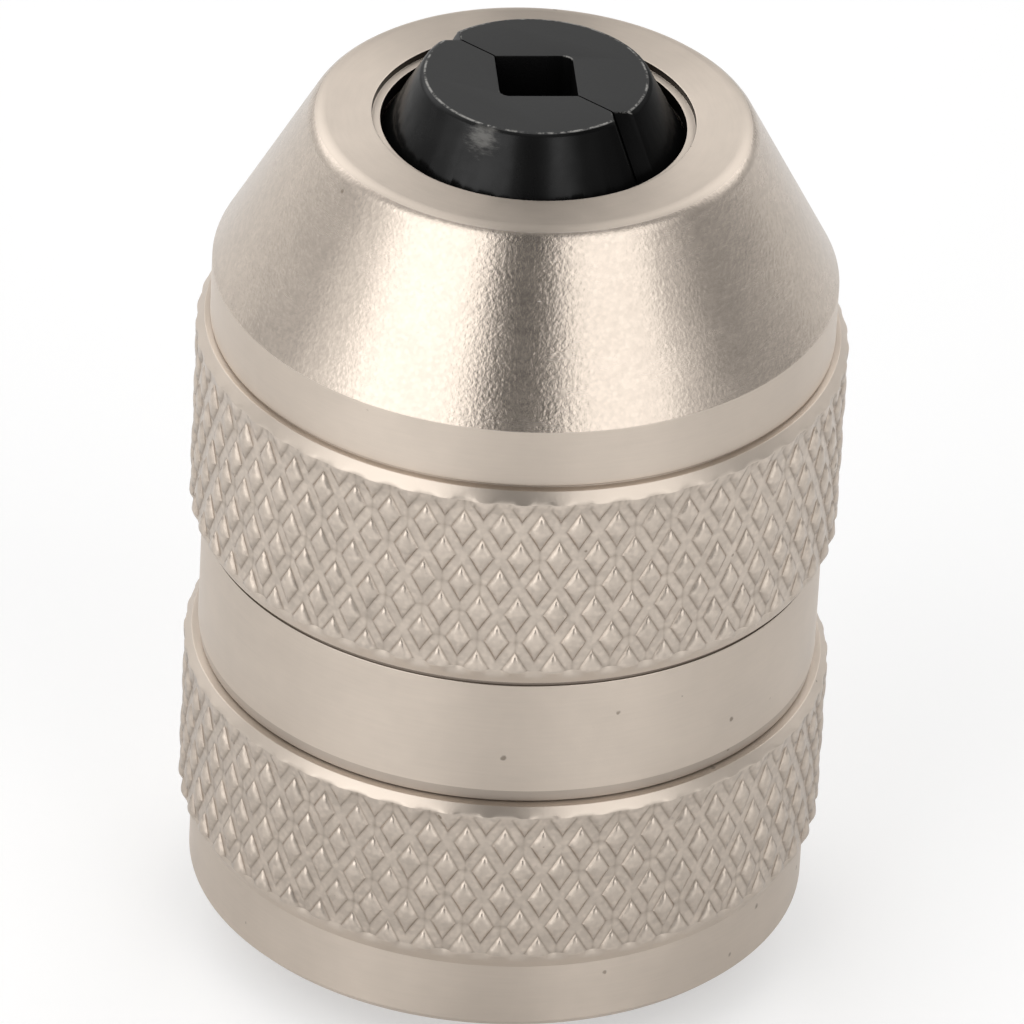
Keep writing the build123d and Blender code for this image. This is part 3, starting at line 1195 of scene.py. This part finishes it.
@dataclass
class NoseCap:
    """Screwed cap that closes the jaws: coned nose, front grip, plain skirt and inner thread."""

    skirt_z: float = 11.45
    skirt_drop: float = 0.07
    skirt_strip: float = 0.45
    skirt_radius: float = 9.1
    band_radius: float = 11.0
    grip_radius: float = 11.5
    grip_z: float = 17.14
    grip_top_z: float = 24.02
    cone_z: float = 26.7
    nose_z: float = 32.8
    nose_radius: float = 7.7
    nose_bend: float = 0.7
    mouth_radius: float = 5.65
    mouth_bend: float = 0.04
    ledge_radius: float = 5.35
    ledge_depth: float = 0.24
    land_z: float = 32.06
    cavity_radius: float = 9.296
    cavity_z: float = 24.64
    thread_z: float = 15.81
    thread_top_z: float = 21.21
    ridge_z: float = 16.64
    ridge_run_in: float = 3.0
    ridge_end: float = 0.05
    ridge_overlap: float = 0.03
    thread_root: float = 9.04
    thread_crest: float = 8.5
    stop_groove_z: float = 12.0
    stop_groove_width: float = 1.1
    stop_groove_radius: float = 10.05
    edge: float = 0.15
    edges: GripEdges = field(default_factory=GripEdges)
    knurl: Knurl = field(default_factory=Knurl)
    thread: Thread = field(default_factory=Thread)

    def section(self) -> list[Corner]:
        """Lists the corners of the cap's section.

        Returns:
            The corners, from the skirt's foot up the outside and down the inside.
        """
        band, bore, foot_z = Zone.BAND, Zone.BORE, self.skirt_z + self.skirt_strip
        groove_top = self.stop_groove_z + self.stop_groove_width
        ledge_z = self.nose_z - self.ledge_depth
        return [
            Corner(self.skirt_radius + self.edge, self.skirt_z, zone=band),
            # The strip above the skirt's foot takes the darker bore finish, painted shade for the
            # dark strip above the parting line.
            Corner(self.band_radius - self.skirt_drop, self.skirt_z, zone=bore),
            Corner(self.band_radius, foot_z, zone=band, bend=0.1, cuts=4),
            *self.edges.lower(self.grip_radius, self.band_radius, self.grip_z),
            *self.edges.upper(self.grip_radius, self.band_radius, self.grip_top_z),
            Corner(self.band_radius, self.cone_z, zone=Zone.CONE, bend=0.12, cuts=5),
            Corner(self.nose_radius, self.nose_z, zone=band, bend=self.nose_bend, cuts=2),
            # The mouth's short walls take the recess finish, nearly black nickel that is painted
            # shade.
            Corner(self.mouth_radius, self.nose_z, zone=Zone.RECESS, bend=self.mouth_bend),
            Corner(self.mouth_radius, ledge_z, zone=band, bend=0.01),
            Corner(self.ledge_radius, ledge_z, zone=Zone.RECESS, bend=0.02),
            Corner(self.ledge_radius, self.land_z, zone=bore, cuts=3),
            Corner(self.cavity_radius, self.cavity_z, zone=bore),
            Corner(self.cavity_radius, self.thread_top_z, zone=bore),
            Corner(self.thread_root, self.thread_top_z, zone=bore),
            Corner(self.thread_root, self.thread_z, zone=bore),
            Corner(self.skirt_radius, self.thread_z, zone=bore),
            Corner(self.skirt_radius, groove_top, zone=bore),
            Corner(self.stop_groove_radius, groove_top, zone=bore),
            Corner(self.stop_groove_radius, self.stop_groove_z, zone=bore),
            Corner(self.skirt_radius, self.stop_groove_z, zone=bore),
            Corner(self.skirt_radius, self.skirt_z + self.edge, zone=band),
        ]

    def build(self) -> bpy.types.Object:
        """Makes the turned shell.

        Returns:
            The piece, with its knurl.
        """
        turned = TurnedMesh("cap_shell", self.knurl.columns)
        rows = section_rows(self.section(), True)
        lay_section(turned, rows, self.knurl, self.band_radius, self.grip_radius)
        return turned.build(closed=True, knurl=self.knurl)

    def build_thread(self) -> bpy.types.Object:
        """Makes the ridge of the inner thread.

        Returns:
            The piece, which runs out into the bore at both ends.
        """
        turns = (self.thread_top_z - self.thread.pitch / 2 - self.ridge_z) / self.thread.pitch
        root, loops = self.thread_root + self.ridge_overlap, []
        for turn in np.linspace(0.0, turns, int(turns * self.thread.steps)):
            height = self.ridge_z + turn * self.thread.pitch
            share = min(1.0, self.ridge_run_in * min(turn, turns - turn) + self.ridge_end)
            crest = self.thread_root + (self.thread_crest - self.thread_root) * share
            loops.append(self.thread.loop(turn, height, root, crest))
        piece = mesh_object("cap_thread", *loft(loops))
        smooth(piece, THREAD_ANGLE)
        return piece


def lay_section(
    turned: TurnedMesh, rows: Sequence[Row], knurl: Knurl, band_radius: float, grip_radius: float
) -> None:
    """Lays rows into a turned mesh, with the knurl where they stand proud of the band.

    Args:
        turned: The mesh.
        rows: Rows of the whole section.
        knurl: The knurl of its grip.
        band_radius: Radius of the bands beside the grip.
        grip_radius: Radius over the knurl.
    """
    proud = [index for index, row in enumerate(rows) if row.radius > band_radius + PROUD]
    turned.rows(rows[: proud[0]])
    turned.grip(rows[proud[0] : proud[-1] + 1], knurl, grip_radius)
    turned.rows(rows[proud[-1] + 1 :])


@dataclass
class DriveBody:
    """Rear part: collar with the square socket, rear grip, and the slotted, threaded spigot."""

    face_radius: float = 5.6
    collar_radius: float = 8.2
    collar_chamfer: float = 0.35
    rim_z: float = 1.8
    groove_depth: float = 0.9
    groove_radius: float = 9.7
    band_radius: float = 11.0
    rim_chamfer: float = 0.3
    grip_radius: float = 11.5
    grip_z: float = 5.24
    grip_foot_z: float = 4.48
    grip_top_z: float = 11.05
    step_radius: float = 11.22
    shoulder_z: float = 11.4
    neck_radius: float = 8.35
    neck_bend: float = 0.3
    slot_floor_z: float = 16.02
    slot_half: float = 4.5
    slot_middle: float = 0.5
    thread_z: float = 17.89
    thread_start: float = 0.25
    ridge_overlap: float = 0.04
    ridge_cover: float = 0.02
    ear_rows: Triple = (18.5, 21.0, 23.5)
    run_in_rows: Triple = (-0.05, 0.0, 0.25)
    ear_steps: int = 49
    ear_flat_steps: int = 10
    thread_crest: float = 8.94
    top_z: float = 26.1
    top_radius: float = 7.85
    square: float = 3.225
    square_bend: float = 0.25
    lead_in: float = 0.5
    depth: float = 8.5
    pilot_radius: float = 3.35
    pilot_depth: float = 10.0
    pilot_point_z: float = 11.83
    pilot_web: float = 0.3
    pilot_inset: float = 0.02
    socket_row_z: float = 6.5
    ball_z: float = 3.4
    ball_centre: float = 2.875
    ball_radius: float = 0.95
    ball_rows: int = 13
    ball_start: float = 0.35
    ball_margin: float = 0.3
    sharp_row: float = 0.03
    knurl: Knurl = field(default_factory=Knurl)
    thread: Thread = field(default_factory=Thread)

    def square_outline(self, half: float, bend: float) -> np.ndarray:
        """Finds the radius of a square with rounded corners.

        Args:
            half: Half the square's width.
            bend: Radius of its corners.

        Returns:
            The radius at every column of the mesh.
        """
        angle = 2 * math.pi * np.arange(self.knurl.columns) / self.knurl.columns
        across, up = np.abs(np.cos(angle)), np.abs(np.sin(angle))
        long, short = np.maximum(across, up), np.minimum(across, up)
        flat = half / long
        centre = half - bend
        aim = centre * (long + short)
        inside = np.maximum(aim**2 - 2 * centre**2 + bend**2, 0.0)
        return np.where(flat * short > centre, aim + np.sqrt(inside), flat)

    def socket_rows(self, turned: TurnedMesh) -> None:
        """Lays the pilot, the socket with its ball groove, and its lead-in, from the bottom out.

        Args:
            turned: The mesh that takes the rings.
        """
        bore, pilot, near, lead = Zone.BORE, self.pilot_radius, self.sharp_row, self.lead_in
        inset = self.pilot_inset
        drop = self.pilot_point_z - self.pilot_depth
        for share in (0.0, 0.25, 0.5, 0.75, 1.0):
            radius = self.pilot_web + (pilot - inset - self.pilot_web) * share
            turned.ring(radius, self.pilot_point_z - drop * share, bore)
        turned.ring(pilot - inset, self.depth + inset, bore)
        turned.ring(pilot - inset / 2, self.depth, bore)
        angles = np.linspace(self.ball_start, math.pi - self.ball_start, self.ball_rows)
        ball = self.ball_z + self.ball_radius * np.cos(angles)
        low, high = self.ball_z - self.ball_radius, self.ball_z + self.ball_radius
        heights = [self.depth, self.depth - near, self.socket_row_z, high + self.ball_margin, high]
        heights += [*ball, low, low - self.ball_margin, lead + near, lead, lead - near]
        heights += [lead / 2, near, 0.0]
        for height in heights:
            widen = max(0.0, self.lead_in - height)
            outline = self.square_outline(self.square + widen, self.square_bend + widen)
            outline = np.maximum(outline, pilot)
            reach = self.ball_radius**2 - (height - self.ball_z) ** 2
            if reach > 0:
                outline = np.maximum(outline, self.ball_centre + math.sqrt(reach))
            edge = 1.0 if height <= near else 0.0
            turned.ring(outline, height, bore if height > 0.0 else Zone.BAND, edge=edge)

    def section(self) -> list[Corner]:
        """Lists the corners of the outside.

        Returns:
            The corners, from the collar's rear face to the slot's floor.
        """
        band, bore = Zone.BAND, Zone.BORE
        groove_z = self.rim_z + self.groove_depth
        chamfer, rim = self.collar_chamfer, self.rim_chamfer
        return [
            Corner(self.face_radius, 0.0, zone=band),
            Corner(self.collar_radius - chamfer, 0.0, zone=band),
            Corner(self.collar_radius, chamfer, zone=band, cuts=2),
            Corner(self.collar_radius, groove_z, zone=bore),
            Corner(self.groove_radius, groove_z, zone=bore),
            Corner(self.groove_radius, self.rim_z, zone=band),
            Corner(self.band_radius - rim, self.rim_z, zone=band, bend=0.08, cuts=1),
            Corner(self.band_radius, self.rim_z + rim, zone=band, bend=0.12, cuts=2),
            Corner(self.band_radius, self.grip_foot_z, zone=band, bend=0.06, cuts=4),
            Corner(self.grip_radius, self.grip_z, zone=Zone.KNURL, bend=0.06),
            Corner(self.grip_radius, self.grip_top_z, zone=band, bend=0.06, cuts=2),
            Corner(self.step_radius, self.shoulder_z, zone=band, bend=0.03),
            Corner(self.neck_radius, self.shoulder_z, zone=bore, bend=self.neck_bend),
            Corner(self.neck_radius, self.slot_floor_z, zone=bore, bend=0.01),
            Corner(self.slot_middle, self.slot_floor_z, zone=bore),
        ]

    def build(self) -> bpy.types.Object:
        """Makes the collar, the rear grip and the neck.

        Returns:
            The piece, in one shell with the socket.
        """
        turned = TurnedMesh("body_grip", self.knurl.columns)
        self.socket_rows(turned)
        rows = section_rows(self.section(), False)
        lay_section(turned, rows, self.knurl, self.band_radius, self.grip_radius)
        return turned.build(poles=(self.pilot_point_z, self.slot_floor_z), knurl=self.knurl)

    def ear_loop(self, radius: float, height: float, turned_half: bool) -> np.ndarray:
        """Makes the outline of one half of the slotted spigot.

        Args:
            radius: The spigot's radius.
            height: Height of the outline.
            turned_half: True for the half on the other side of the slot.

        Returns:
            The outline's points.
        """
        start = math.asin(self.slot_half / radius)
        angles = np.linspace(start, math.pi - start, self.ear_steps)
        arc = np.stack([radius * np.cos(angles), radius * np.sin(angles)], -1)
        flat = np.linspace(arc[-1], arc[0], self.ear_flat_steps)[1:-1]
        outline = np.concatenate([arc, flat])
        if turned_half:
            outline = -outline
        return np.column_stack([outline, np.full(len(outline), height)])

    def ridge_loops(self, first_z: float, turned_half: bool) -> list[np.ndarray]:
        """Makes the outlines along one ridge of the thread.

        Args:
            first_z: Height at which its turn starts.
            turned_half: True for a ridge on the other half of the spigot.

        Returns:
            The outlines, cut off at the slot and under the run-in chamfer.
        """
        offset = 0.5 if turned_half else 0.0
        form = self.thread.loop(0.0, 0.0, self.neck_radius - self.ridge_overlap, self.thread_crest)
        cone = self.top_radius + self.top_z
        loops = []
        for share in np.linspace(0.0, 1.0, self.ear_steps):
            rows = []
            for point in form:
                start = math.asin(self.slot_half / point[0])
                angle = start + (math.pi - 2 * start) * share
                height = first_z + (angle / (2 * math.pi) + offset) * self.thread.pitch + point[2]
                radius = min(point[0], cone - height - self.ridge_cover)
                angle += 2 * math.pi * offset
                rows.append((radius * math.cos(angle), radius * math.sin(angle), height))
            loops.append(np.array(rows))
        return loops

    def build_spigot(self) -> bpy.types.Object:
        """Makes both halves of the slotted spigot with their thread ridges.

        Returns:
            The piece.
        """
        run_in = self.top_z - (self.neck_radius - self.top_radius)
        heights = [self.slot_floor_z, *self.ear_rows]
        heights += [run_in + step for step in self.run_in_rows] + [self.top_z]
        shells = []
        for half in (False, True):
            loops = []
            for height in heights:
                radius = min(self.neck_radius, self.top_radius + self.top_z - height)
                loops.append(self.ear_loop(radius, height, half))
            shells.append(loft(loops))
            first = self.thread_z + self.thread_start
            while first + self.thread.pitch < self.top_z:
                shells.append(loft(self.ridge_loops(first, half)))
                first += self.thread.pitch
        piece = mesh_object("body_spigot", *join_shells(shells))
        smooth(piece, THREAD_ANGLE)
        return piece


@dataclass
class Jaw:
    """One of the two sliding jaws, half of a coned head with a V notch."""

    side: Side
    node: str
    edge: float = 0.06
    sharpest: float = 28.0
    split: float = 0.1
    tip_z: float = 34.45
    tip_depth: float = 0.05
    upright: float = 0.9

    def build(self) -> bpy.types.Object:
        """Makes the jaw from its machined shape.

        Returns:
            The piece, with its sharp edges broken and its flat tip marked.
        """
        name = "jaw_" + self.side.name.lower() + "_half"
        node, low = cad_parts[self.node], self.tip_z - self.tip_depth
        piece = bevelled_copy(node, name, self.edge, self.sharpest, self.split, low)
        for face in piece.data.polygons:
            if face.normal.z > self.upright and face.center.z > low * MM:
                face.material_index = 1
        return piece


@dataclass
class JawSpring:
    """Coil spring between the jaws, in two halves that meet at the split.

    Attributes:
        centre_y: Place of its axis across the split.
        centre_z: Height of its axis.
        coil_radius: Radius of the coil, to the middle of the wire.
        wire_radius: Radius of the wire.
        reach: Length of a half.
        seat: Depth of the pocket's floor. Not used.
        open_turns: Open turns in a half.
        closed_turns: Closed turns at its end.
        closed_pitch: Rise of a closed turn.
        start: Angle in radians at which the halves meet.
        steps: Outlines in a turn.
        sides: Points of an outline.
    """

    centre_y: float
    centre_z: float = 21.3
    coil_radius: float = 0.925
    wire_radius: float = 0.175
    reach: float = 3.53
    seat: float = 3.55
    open_turns: float = 2.35
    closed_turns: float = 0.9
    closed_pitch: float = 0.37
    start: float = 0.9
    steps: int = 36
    sides: int = 12

    def build(self, side: Side, name: str) -> bpy.types.Object:
        """Makes the half on one side.

        Args:
            side: The side that it reaches to.
            name: Name of the piece.

        Returns:
            The half coil as a round wire with closed ends.
        """
        last = self.reach - self.wire_radius
        opened = last - self.closed_turns * self.closed_pitch
        whole = self.open_turns + self.closed_turns
        turns = np.linspace(0.0, whole, round(whole * self.steps) + 1)
        reach = np.interp(turns, (0.0, self.open_turns, whole), (0.0, opened, last))
        sign = side.value
        angle = 2 * math.pi * turns * sign + self.start
        line = np.stack(
            [
                reach * sign,
                self.centre_y + self.coil_radius * np.cos(angle),
                self.centre_z + self.coil_radius * np.sin(angle),
            ],
            -1,
        )
        way = np.gradient(line, axis=0)
        way /= np.linalg.norm(way, axis=1)[:, None]
        out = np.stack([np.zeros_like(angle), np.cos(angle), np.sin(angle)], -1)
        across = np.cross(way, out)
        across /= np.linalg.norm(across, axis=1)[:, None]
        out = np.cross(across, way)
        round_angle = 2 * math.pi * np.arange(self.sides) / self.sides
        loops = []
        for point, first, second in zip(line, out, across):
            ring = np.outer(np.cos(round_angle), first) + np.outer(np.sin(round_angle), second)
            loops.append(point + ring * self.wire_radius)
        piece = mesh_object(name, *loft(loops))
        smooth(piece, WIRE_ANGLE)
        return piece


@dataclass(frozen=True)
class Softbox:
    """Large soft lamp, whose inner edge is given by two directions seen from the object.

    A direction is given as right, towards the camera and up.

    Attributes:
        name: Name of the lamp.
        foot: Direction of the inner edge's lower end.
        head: Direction of its upper end.
        outward: Way in which the lamp spreads from its inner edge.
        width: Its width, as a share of its distance.
        radiance: Its brightness.
        distance: How far away it hangs in metres.
    """

    name: str
    foot: Triple
    head: Triple
    outward: Triple
    width: float
    radiance: float
    distance: float = 0.55


OUT_LEFT = (-0.72, -0.41, -0.14)
OUT_RIGHT = (0.50, -0.30, -0.08)


@dataclass
class Studio:
    """Plain pale floor, two soft lamps with fading outer sides, a quiet room, and the camera.

    Sizes are in metres. The room's and the floor's brightness are given as ramps over a direction
    or a distance.
    """

    elevation: float = 0.565579
    roll: float = 0.0538647
    right: Triple = (0.6293, -0.7771, 0.0)
    aim_z: float = 0.016463
    aim_side: float = -0.000025
    distance: float = 0.48509
    lens: float = 481.19
    sensor: float = 36.0
    nearest: float = 0.01
    farthest: float = 20.0
    room_side: Ramp = (-0.9, 0.9, 0.56, 0.35)
    room_front: Ramp = (-0.8, 0.2, 1.25, 1.0)
    behind_front: Ramp = (-0.6, -0.1, 1.0, 0.0)
    behind_up: Ramp = (0.2, 0.45, 0.0, 1.0)
    behind_side: Ramp = (0.03, 0.2, -0.25, 1.15)
    gap_side: Ramp = (0.04, 0.3, 0.25, 1.0)
    gap_front: Ramp = (0.0, 0.35, 0.0, 1.0)
    floor_size: float = 8.0
    floor_grey: float = 0.62
    floor_shown: float = 0.42
    floor_far: Ramp = (0.15, 1.2, 1.0, 2.2)
    # Painted shadow: the floor's glow that metal mirrors fades near the object's base, and is
    # dimmer towards the right.
    floor_near_shadow: Ramp = (0.012, 0.06, 0.16, 0.335)
    floor_aside: Ramp = (-0.02, 0.12, 1.0, 0.72)
    boxes: tuple[Softbox, ...] = (
        Softbox("softbox_left", (-0.245, 0.959, 0.14), (-0.175, 0.40, 0.90), OUT_LEFT, 0.7, 1.0),
        Softbox("fade_left", (-0.27, 0.95, 0.14), (-0.2, 0.39, 0.90), OUT_LEFT, 1.12, 0.5, 0.6),
        Softbox("softbox_right", (0.245, 0.959, 0.14), (0.175, 0.40, 0.90), OUT_RIGHT, 0.6, 0.9),
        Softbox("fade_right", (0.27, 0.95, 0.14), (0.2, 0.39, 0.90), OUT_RIGHT, 0.86, 0.4, 0.6),
    )

    def toward(self, direction: Sequence[float]) -> Vector:
        """Turns a direction into the world's axes.

        Args:
            direction: The direction as right, towards the camera and up.

        Returns:
            The same direction in the world.
        """
        right = Vector(self.right).normalized()
        front = Vector((0.0, 0.0, 1.0)).cross(right) * -1.0
        return right * direction[0] + front * direction[1] + Vector((0.0, 0.0, 1.0)) * direction[2]

    def add_camera(self) -> None:
        """Sets the camera at the photograph's viewing angle."""
        right = Vector(self.right).normalized()
        ahead = self.toward((0.0, -math.cos(self.elevation), -math.sin(self.elevation)))
        up = right.cross(ahead)
        aim = Vector((0.0, 0.0, self.aim_z)) + right * self.aim_side
        side = right * math.cos(self.roll) + up * math.sin(self.roll)
        top = up * math.cos(self.roll) - right * math.sin(self.roll)
        turn = Matrix((side, top, -ahead)).transposed().to_4x4()
        lens = bpy.data.cameras.new("camera")
        lens.lens = self.lens
        lens.sensor_width = self.sensor
        lens.sensor_fit = "HORIZONTAL"
        lens.clip_start = self.nearest
        lens.clip_end = self.farthest
        camera = bpy.data.objects.new("camera", lens)
        bpy.context.scene.collection.objects.link(camera)
        camera.matrix_world = Matrix.Translation(aim - ahead * self.distance) @ turn
        bpy.context.scene.camera = camera

    def add_lamp(self, box: Softbox) -> None:
        """Hangs one soft lamp so that its inner edge lies in the two given directions.

        Args:
            box: The lamp.
        """
        foot, head = self.toward(box.foot), self.toward(box.head)
        along = (head - foot).normalized()
        outward = self.toward(box.outward)
        outward = (outward - along * outward.dot(along)).normalized()
        centre = (foot + head) / 2 + outward * (box.width / 2)
        face = along.cross(outward)
        if face.dot(centre) > 0:
            face, along = -face, -along
        lamp = bpy.data.lights.new(box.name, "AREA")
        lamp.shape = "RECTANGLE"
        lamp.size = box.width * box.distance
        lamp.size_y = (head - foot).length * box.distance
        lamp.energy = box.radiance * math.pi * lamp.size * lamp.size_y
        hung = bpy.data.objects.new(box.name, lamp)
        bpy.context.scene.collection.objects.link(hung)
        back = -face
        aside = along.cross(back)
        turn = Matrix((aside, along, back)).transposed().to_4x4()
        hung.matrix_world = Matrix.Translation(centre * box.distance) @ turn
        hung.visible_camera = False

    def add_room(self) -> None:
        """Makes the room: white where it is seen, and a soft gradient where metal mirrors it."""
        world = bpy.data.worlds.new("room")
        bpy.context.scene.world = world
        world.use_nodes = True
        world.node_tree.nodes.clear()
        graph = Graph(world.node_tree)
        seen = graph.node("TexCoord").outputs["Generated"]
        side, front = [
            graph.vector("DOT_PRODUCT", seen, tuple(self.toward(way))).outputs["Value"]
            for way in ((1.0, 0.0, 0.0), (0.0, 1.0, 0.0))
        ]
        up, aside = graph.parts(seen)[2], graph.math("ABSOLUTE", side)
        back = graph.spread(front, self.room_front)
        level = graph.math("MULTIPLY", graph.spread(side, self.room_side), back)
        above = graph.spread(up, self.behind_up)
        behind = graph.math("MULTIPLY", graph.spread(front, self.behind_front), above)
        level = graph.math("MULTIPLY_ADD", behind, graph.spread(aside, self.behind_side), level)
        gap = graph.math("SUBTRACT", graph.spread(aside, self.gap_side), 1.0)
        gap = graph.math("MULTIPLY_ADD", gap, graph.spread(front, self.gap_front), 1.0)
        level = graph.math("MULTIPLY", level, gap)
        clear = graph.clear_rays()
        strength = graph.math("MULTIPLY_ADD", graph.math("SUBTRACT", 1.0, level), clear, level)
        glow = graph.node("Background", {"Strength": strength})
        glow.inputs["Color"].default_value = (1.0, 1.0, 1.0, 1.0)
        graph.node("OutputWorld", {"Surface": glow.outputs[0]})

    def add_floor(self) -> None:
        """Lays the pale floor, which shows white but keeps the object's shadow."""
        half = self.floor_size / 2 / MM
        corners = np.array([(-1, -1, 0), (1, -1, 0), (1, 1, 0), (-1, 1, 0)]) * half
        floor = mesh_object("floor", corners, [(0, 1, 2, 3)])
        paint = bpy.data.materials.new("pale floor")
        paint.use_nodes = True
        paint.node_tree.nodes.clear()
        graph = Graph(paint.node_tree)
        glossy = graph.node("LightPath").outputs["Is Glossy Ray"]
        flat = graph.node("TexCoord").outputs["Object"]
        far = graph.node("VectorMath", {0: flat}, operation="LENGTH").outputs["Value"]
        aside = graph.vector("DOT_PRODUCT", flat, self.right).outputs["Value"]
        level = graph.spread(far, self.floor_far)
        # Painted shadow in reflections: the mirrored glow is dimmed near the object and towards the
        # right.
        near = graph.spread(far, self.floor_near_shadow)
        near = graph.math("MULTIPLY", near, graph.spread(aside, self.floor_aside))
        mirrored = graph.math("MULTIPLY", graph.math("MULTIPLY", level, near), glossy)
        shown = graph.math("MULTIPLY", level, self.floor_shown)
        shown = graph.math("MULTIPLY", shown, graph.clear_rays())
        glow = graph.node("Emission", {"Strength": graph.math("ADD", mirrored, shown)})
        matt = graph.node("BsdfDiffuse")
        matt.inputs["Color"].default_value = (*[self.floor_grey] * 3, 1.0)
        both = graph.node("AddShader", {0: glow.outputs[0], 1: matt.outputs[0]})
        graph.node("OutputMaterial", {"Surface": both.outputs[0]})
        floor.data.materials.append(paint)

    def build(self) -> None:
        """Sets up the whole studio."""
        bpy.context.scene.view_settings.view_transform = "Standard"
        self.add_camera()
        self.add_room()
        self.add_floor()
        for box in self.boxes:
            self.add_lamp(box)
            LOG.info("lamp %s hung", box.name)


BAND_FINISH = Metal(
    "nickel_band", NICKEL_BRIGHT, 0.4, brushed=0.8, speck_amount=0.13, speck_strength=0.5
)
CONE_FINISH = Metal(
    "nickel_cone",
    NICKEL,
    0.26,
    brushed=0.6,
    line_height=0.003,
    grain_fineness=7.5,
    grain_height=0.009,
    glint=0.14,
)
KNURL_FINISH = Metal(
    "nickel_knurl",
    NICKEL,
    0.3,
    # Grime and painted shade along the foot of the groove walls.
    groove_dirt_and_shade=0.4,
    tone=0.16,
    cloud_size=1.3,
    glint=0.22,
    grain_fineness=6.0,
    grain_height=0.006,
    brushed=0.2,
)
# Darker nickel of the bores; outside it is painted shade on the strip above the cap's parting line
# and on the wall of the upper tool relief.
BORE_AND_SHADE_FINISH = Metal("nickel_bore_and_shade", (0.52, 0.455, 0.395), 0.5, line_density=5.0, brushed=0.8)
# Painted shade: the tool relief under the cap's grip is coloured darker nickel, for the dark line
# at the grip's foot.
RELIEF_SHADE_FINISH = Metal(
    "nickel_relief_painted_shade", (0.3, 0.255, 0.215), 0.45, worn_and_lit=NICKEL_DIRT_AND_SHADE, line_density=5.0
)
# Painted shade: the mouth's short walls above and below the ledge are coloured nearly black, for
# the dark ring inside the mouth.
RECESS_SHADE_FINISH = Metal(
    "nickel_recess_painted_shade", (0.045, 0.038, 0.032), 0.5, worn_and_lit=NICKEL_DIRT_AND_SHADE, line_density=5.0
)
JAW_FINISH = Metal(
    "black_oxide_jaw",
    (0.003, 0.003, 0.003),
    0.4,
    dirt_and_shade_colour=OXIDE_STAIN,
    worn_and_lit=OXIDE_WORN_AND_LIT,
    metallic=0.0,
    speck_amount=0.03,
    speck_strength=0.4,
    # Rim edges drawn lighter: rubbing and painted highlight.
    wear=0.75,
    line_height=0.002,
    specular=0.03,
    oil=0.5,
    oil_side=(-0.6293, 0.7771, 0.0),
    # Painted highlight: a lighter spot on the left of the cone, just under the rim.
    spot=(-4.09, -1.06, 34.15),
    spot_strength=0.35,
)
TIP_FINISH = Metal(
    "black_oxide_tip",
    (0.036, 0.036, 0.0355),
    0.65,
    dirt_and_shade_colour=OXIDE_STAIN,
    worn_and_lit=OXIDE_WORN_AND_LIT,
    metallic=0.0,
    speck_amount=0.02,
    speck_strength=0.3,
    # Rim edges drawn lighter: rubbing and painted highlight.
    wear=0.75,
    line_height=0.003,
    specular=0.2,
)
WIRE_FINISH = Metal(
    "spring_wire", (0.5, 0.49, 0.48), 0.28, dirt_and_shade_colour=(0.1, 0.09, 0.08), worn_and_lit=(0.7, 0.7, 0.7)
)
NICKEL_FINISHES = (
    BAND_FINISH, CONE_FINISH, KNURL_FINISH, BORE_AND_SHADE_FINISH, RELIEF_SHADE_FINISH, RECESS_SHADE_FINISH
)


def dress(piece: bpy.types.Object, finishes: Sequence[bpy.types.Material]) -> None:
    """Gives a piece its finishes and logs it.

    Args:
        piece: The finished piece.
        finishes: Its finishes, in the order of its material slots.
    """
    for finish in finishes:
        piece.data.materials.append(finish)
    LOG.info("%s: %d faces", piece.name, len(piece.data.polygons))


def build_cap(finishes: Sequence[bpy.types.Material]) -> None:
    """Builds the cap and its thread, and sets them on their body.

    Args:
        finishes: The nickel finishes, in the order of the zones.
    """
    cap, inner = NoseCap(), finishes[Zone.BORE.value : Zone.RELIEF.value]
    for piece, worn_and_lit in ((cap.build(), finishes), (cap.build_thread(), inner)):
        dress(piece, worn_and_lit)
        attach(piece, "nose_cap")
        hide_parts("nose_cap")


def build_body(finishes: Sequence[bpy.types.Material]) -> None:
    """Builds the drive body and its spigot, and sets them on their body.

    Args:
        finishes: The nickel finishes, in the order of the zones.
    """
    body, inner = DriveBody(), finishes[Zone.BORE.value : Zone.RELIEF.value]
    for piece, worn_and_lit in ((body.build(), finishes), (body.build_spigot(), inner)):
        dress(piece, worn_and_lit)
        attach(piece, "drive_body")
        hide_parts("drive_body")


def build_jaws(finishes: Sequence[bpy.types.Material]) -> None:
    """Builds both jaws.

    Args:
        finishes: Finish of a jaw, and of its flat tip.
    """
    for side in Side:
        node = "jaw_" + side.name.lower()
        piece = Jaw(side, node).build()
        dress(piece, finishes)
        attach(piece, node)
        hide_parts(node)


def build_springs(finish: bpy.types.Material) -> None:
    """Builds the two springs, each as two halves.

    Args:
        finish: Finish of the wire.
    """
    for place, centre in (("front", -SPRING_Y), ("back", SPRING_Y)):
        spring = JawSpring(centre)
        for side in Side:
            which = side.name.lower()
            piece = spring.build(side, "spring_" + place + "_" + which)
            dress(piece, [finish])
            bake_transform(piece)
            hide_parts("jaw_spring_" + place)


def main() -> None:
    """Builds the studio and every piece, and dresses them."""
    logging.basicConfig(level=logging.INFO, format="%(name)s: %(message)s")
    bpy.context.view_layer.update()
    Studio().build()
    effects = Effects()
    nickel = [finish.material(effects) for finish in NICKEL_FINISHES]
    jaw_black = [finish.material(effects) for finish in (JAW_FINISH, TIP_FINISH)]
    wire = WIRE_FINISH.material(effects)
    build_cap(nickel)
    build_body(nickel)
    build_jaws(jaw_black)
    build_springs(wire)
    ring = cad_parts["stop_ring"]
    for slot in ring.material_slots:
        slot.material = wire
    LOG.info("%s: %d faces", ring.name, len(ring.data.polygons))


if __name__ == "__main__":
    main()
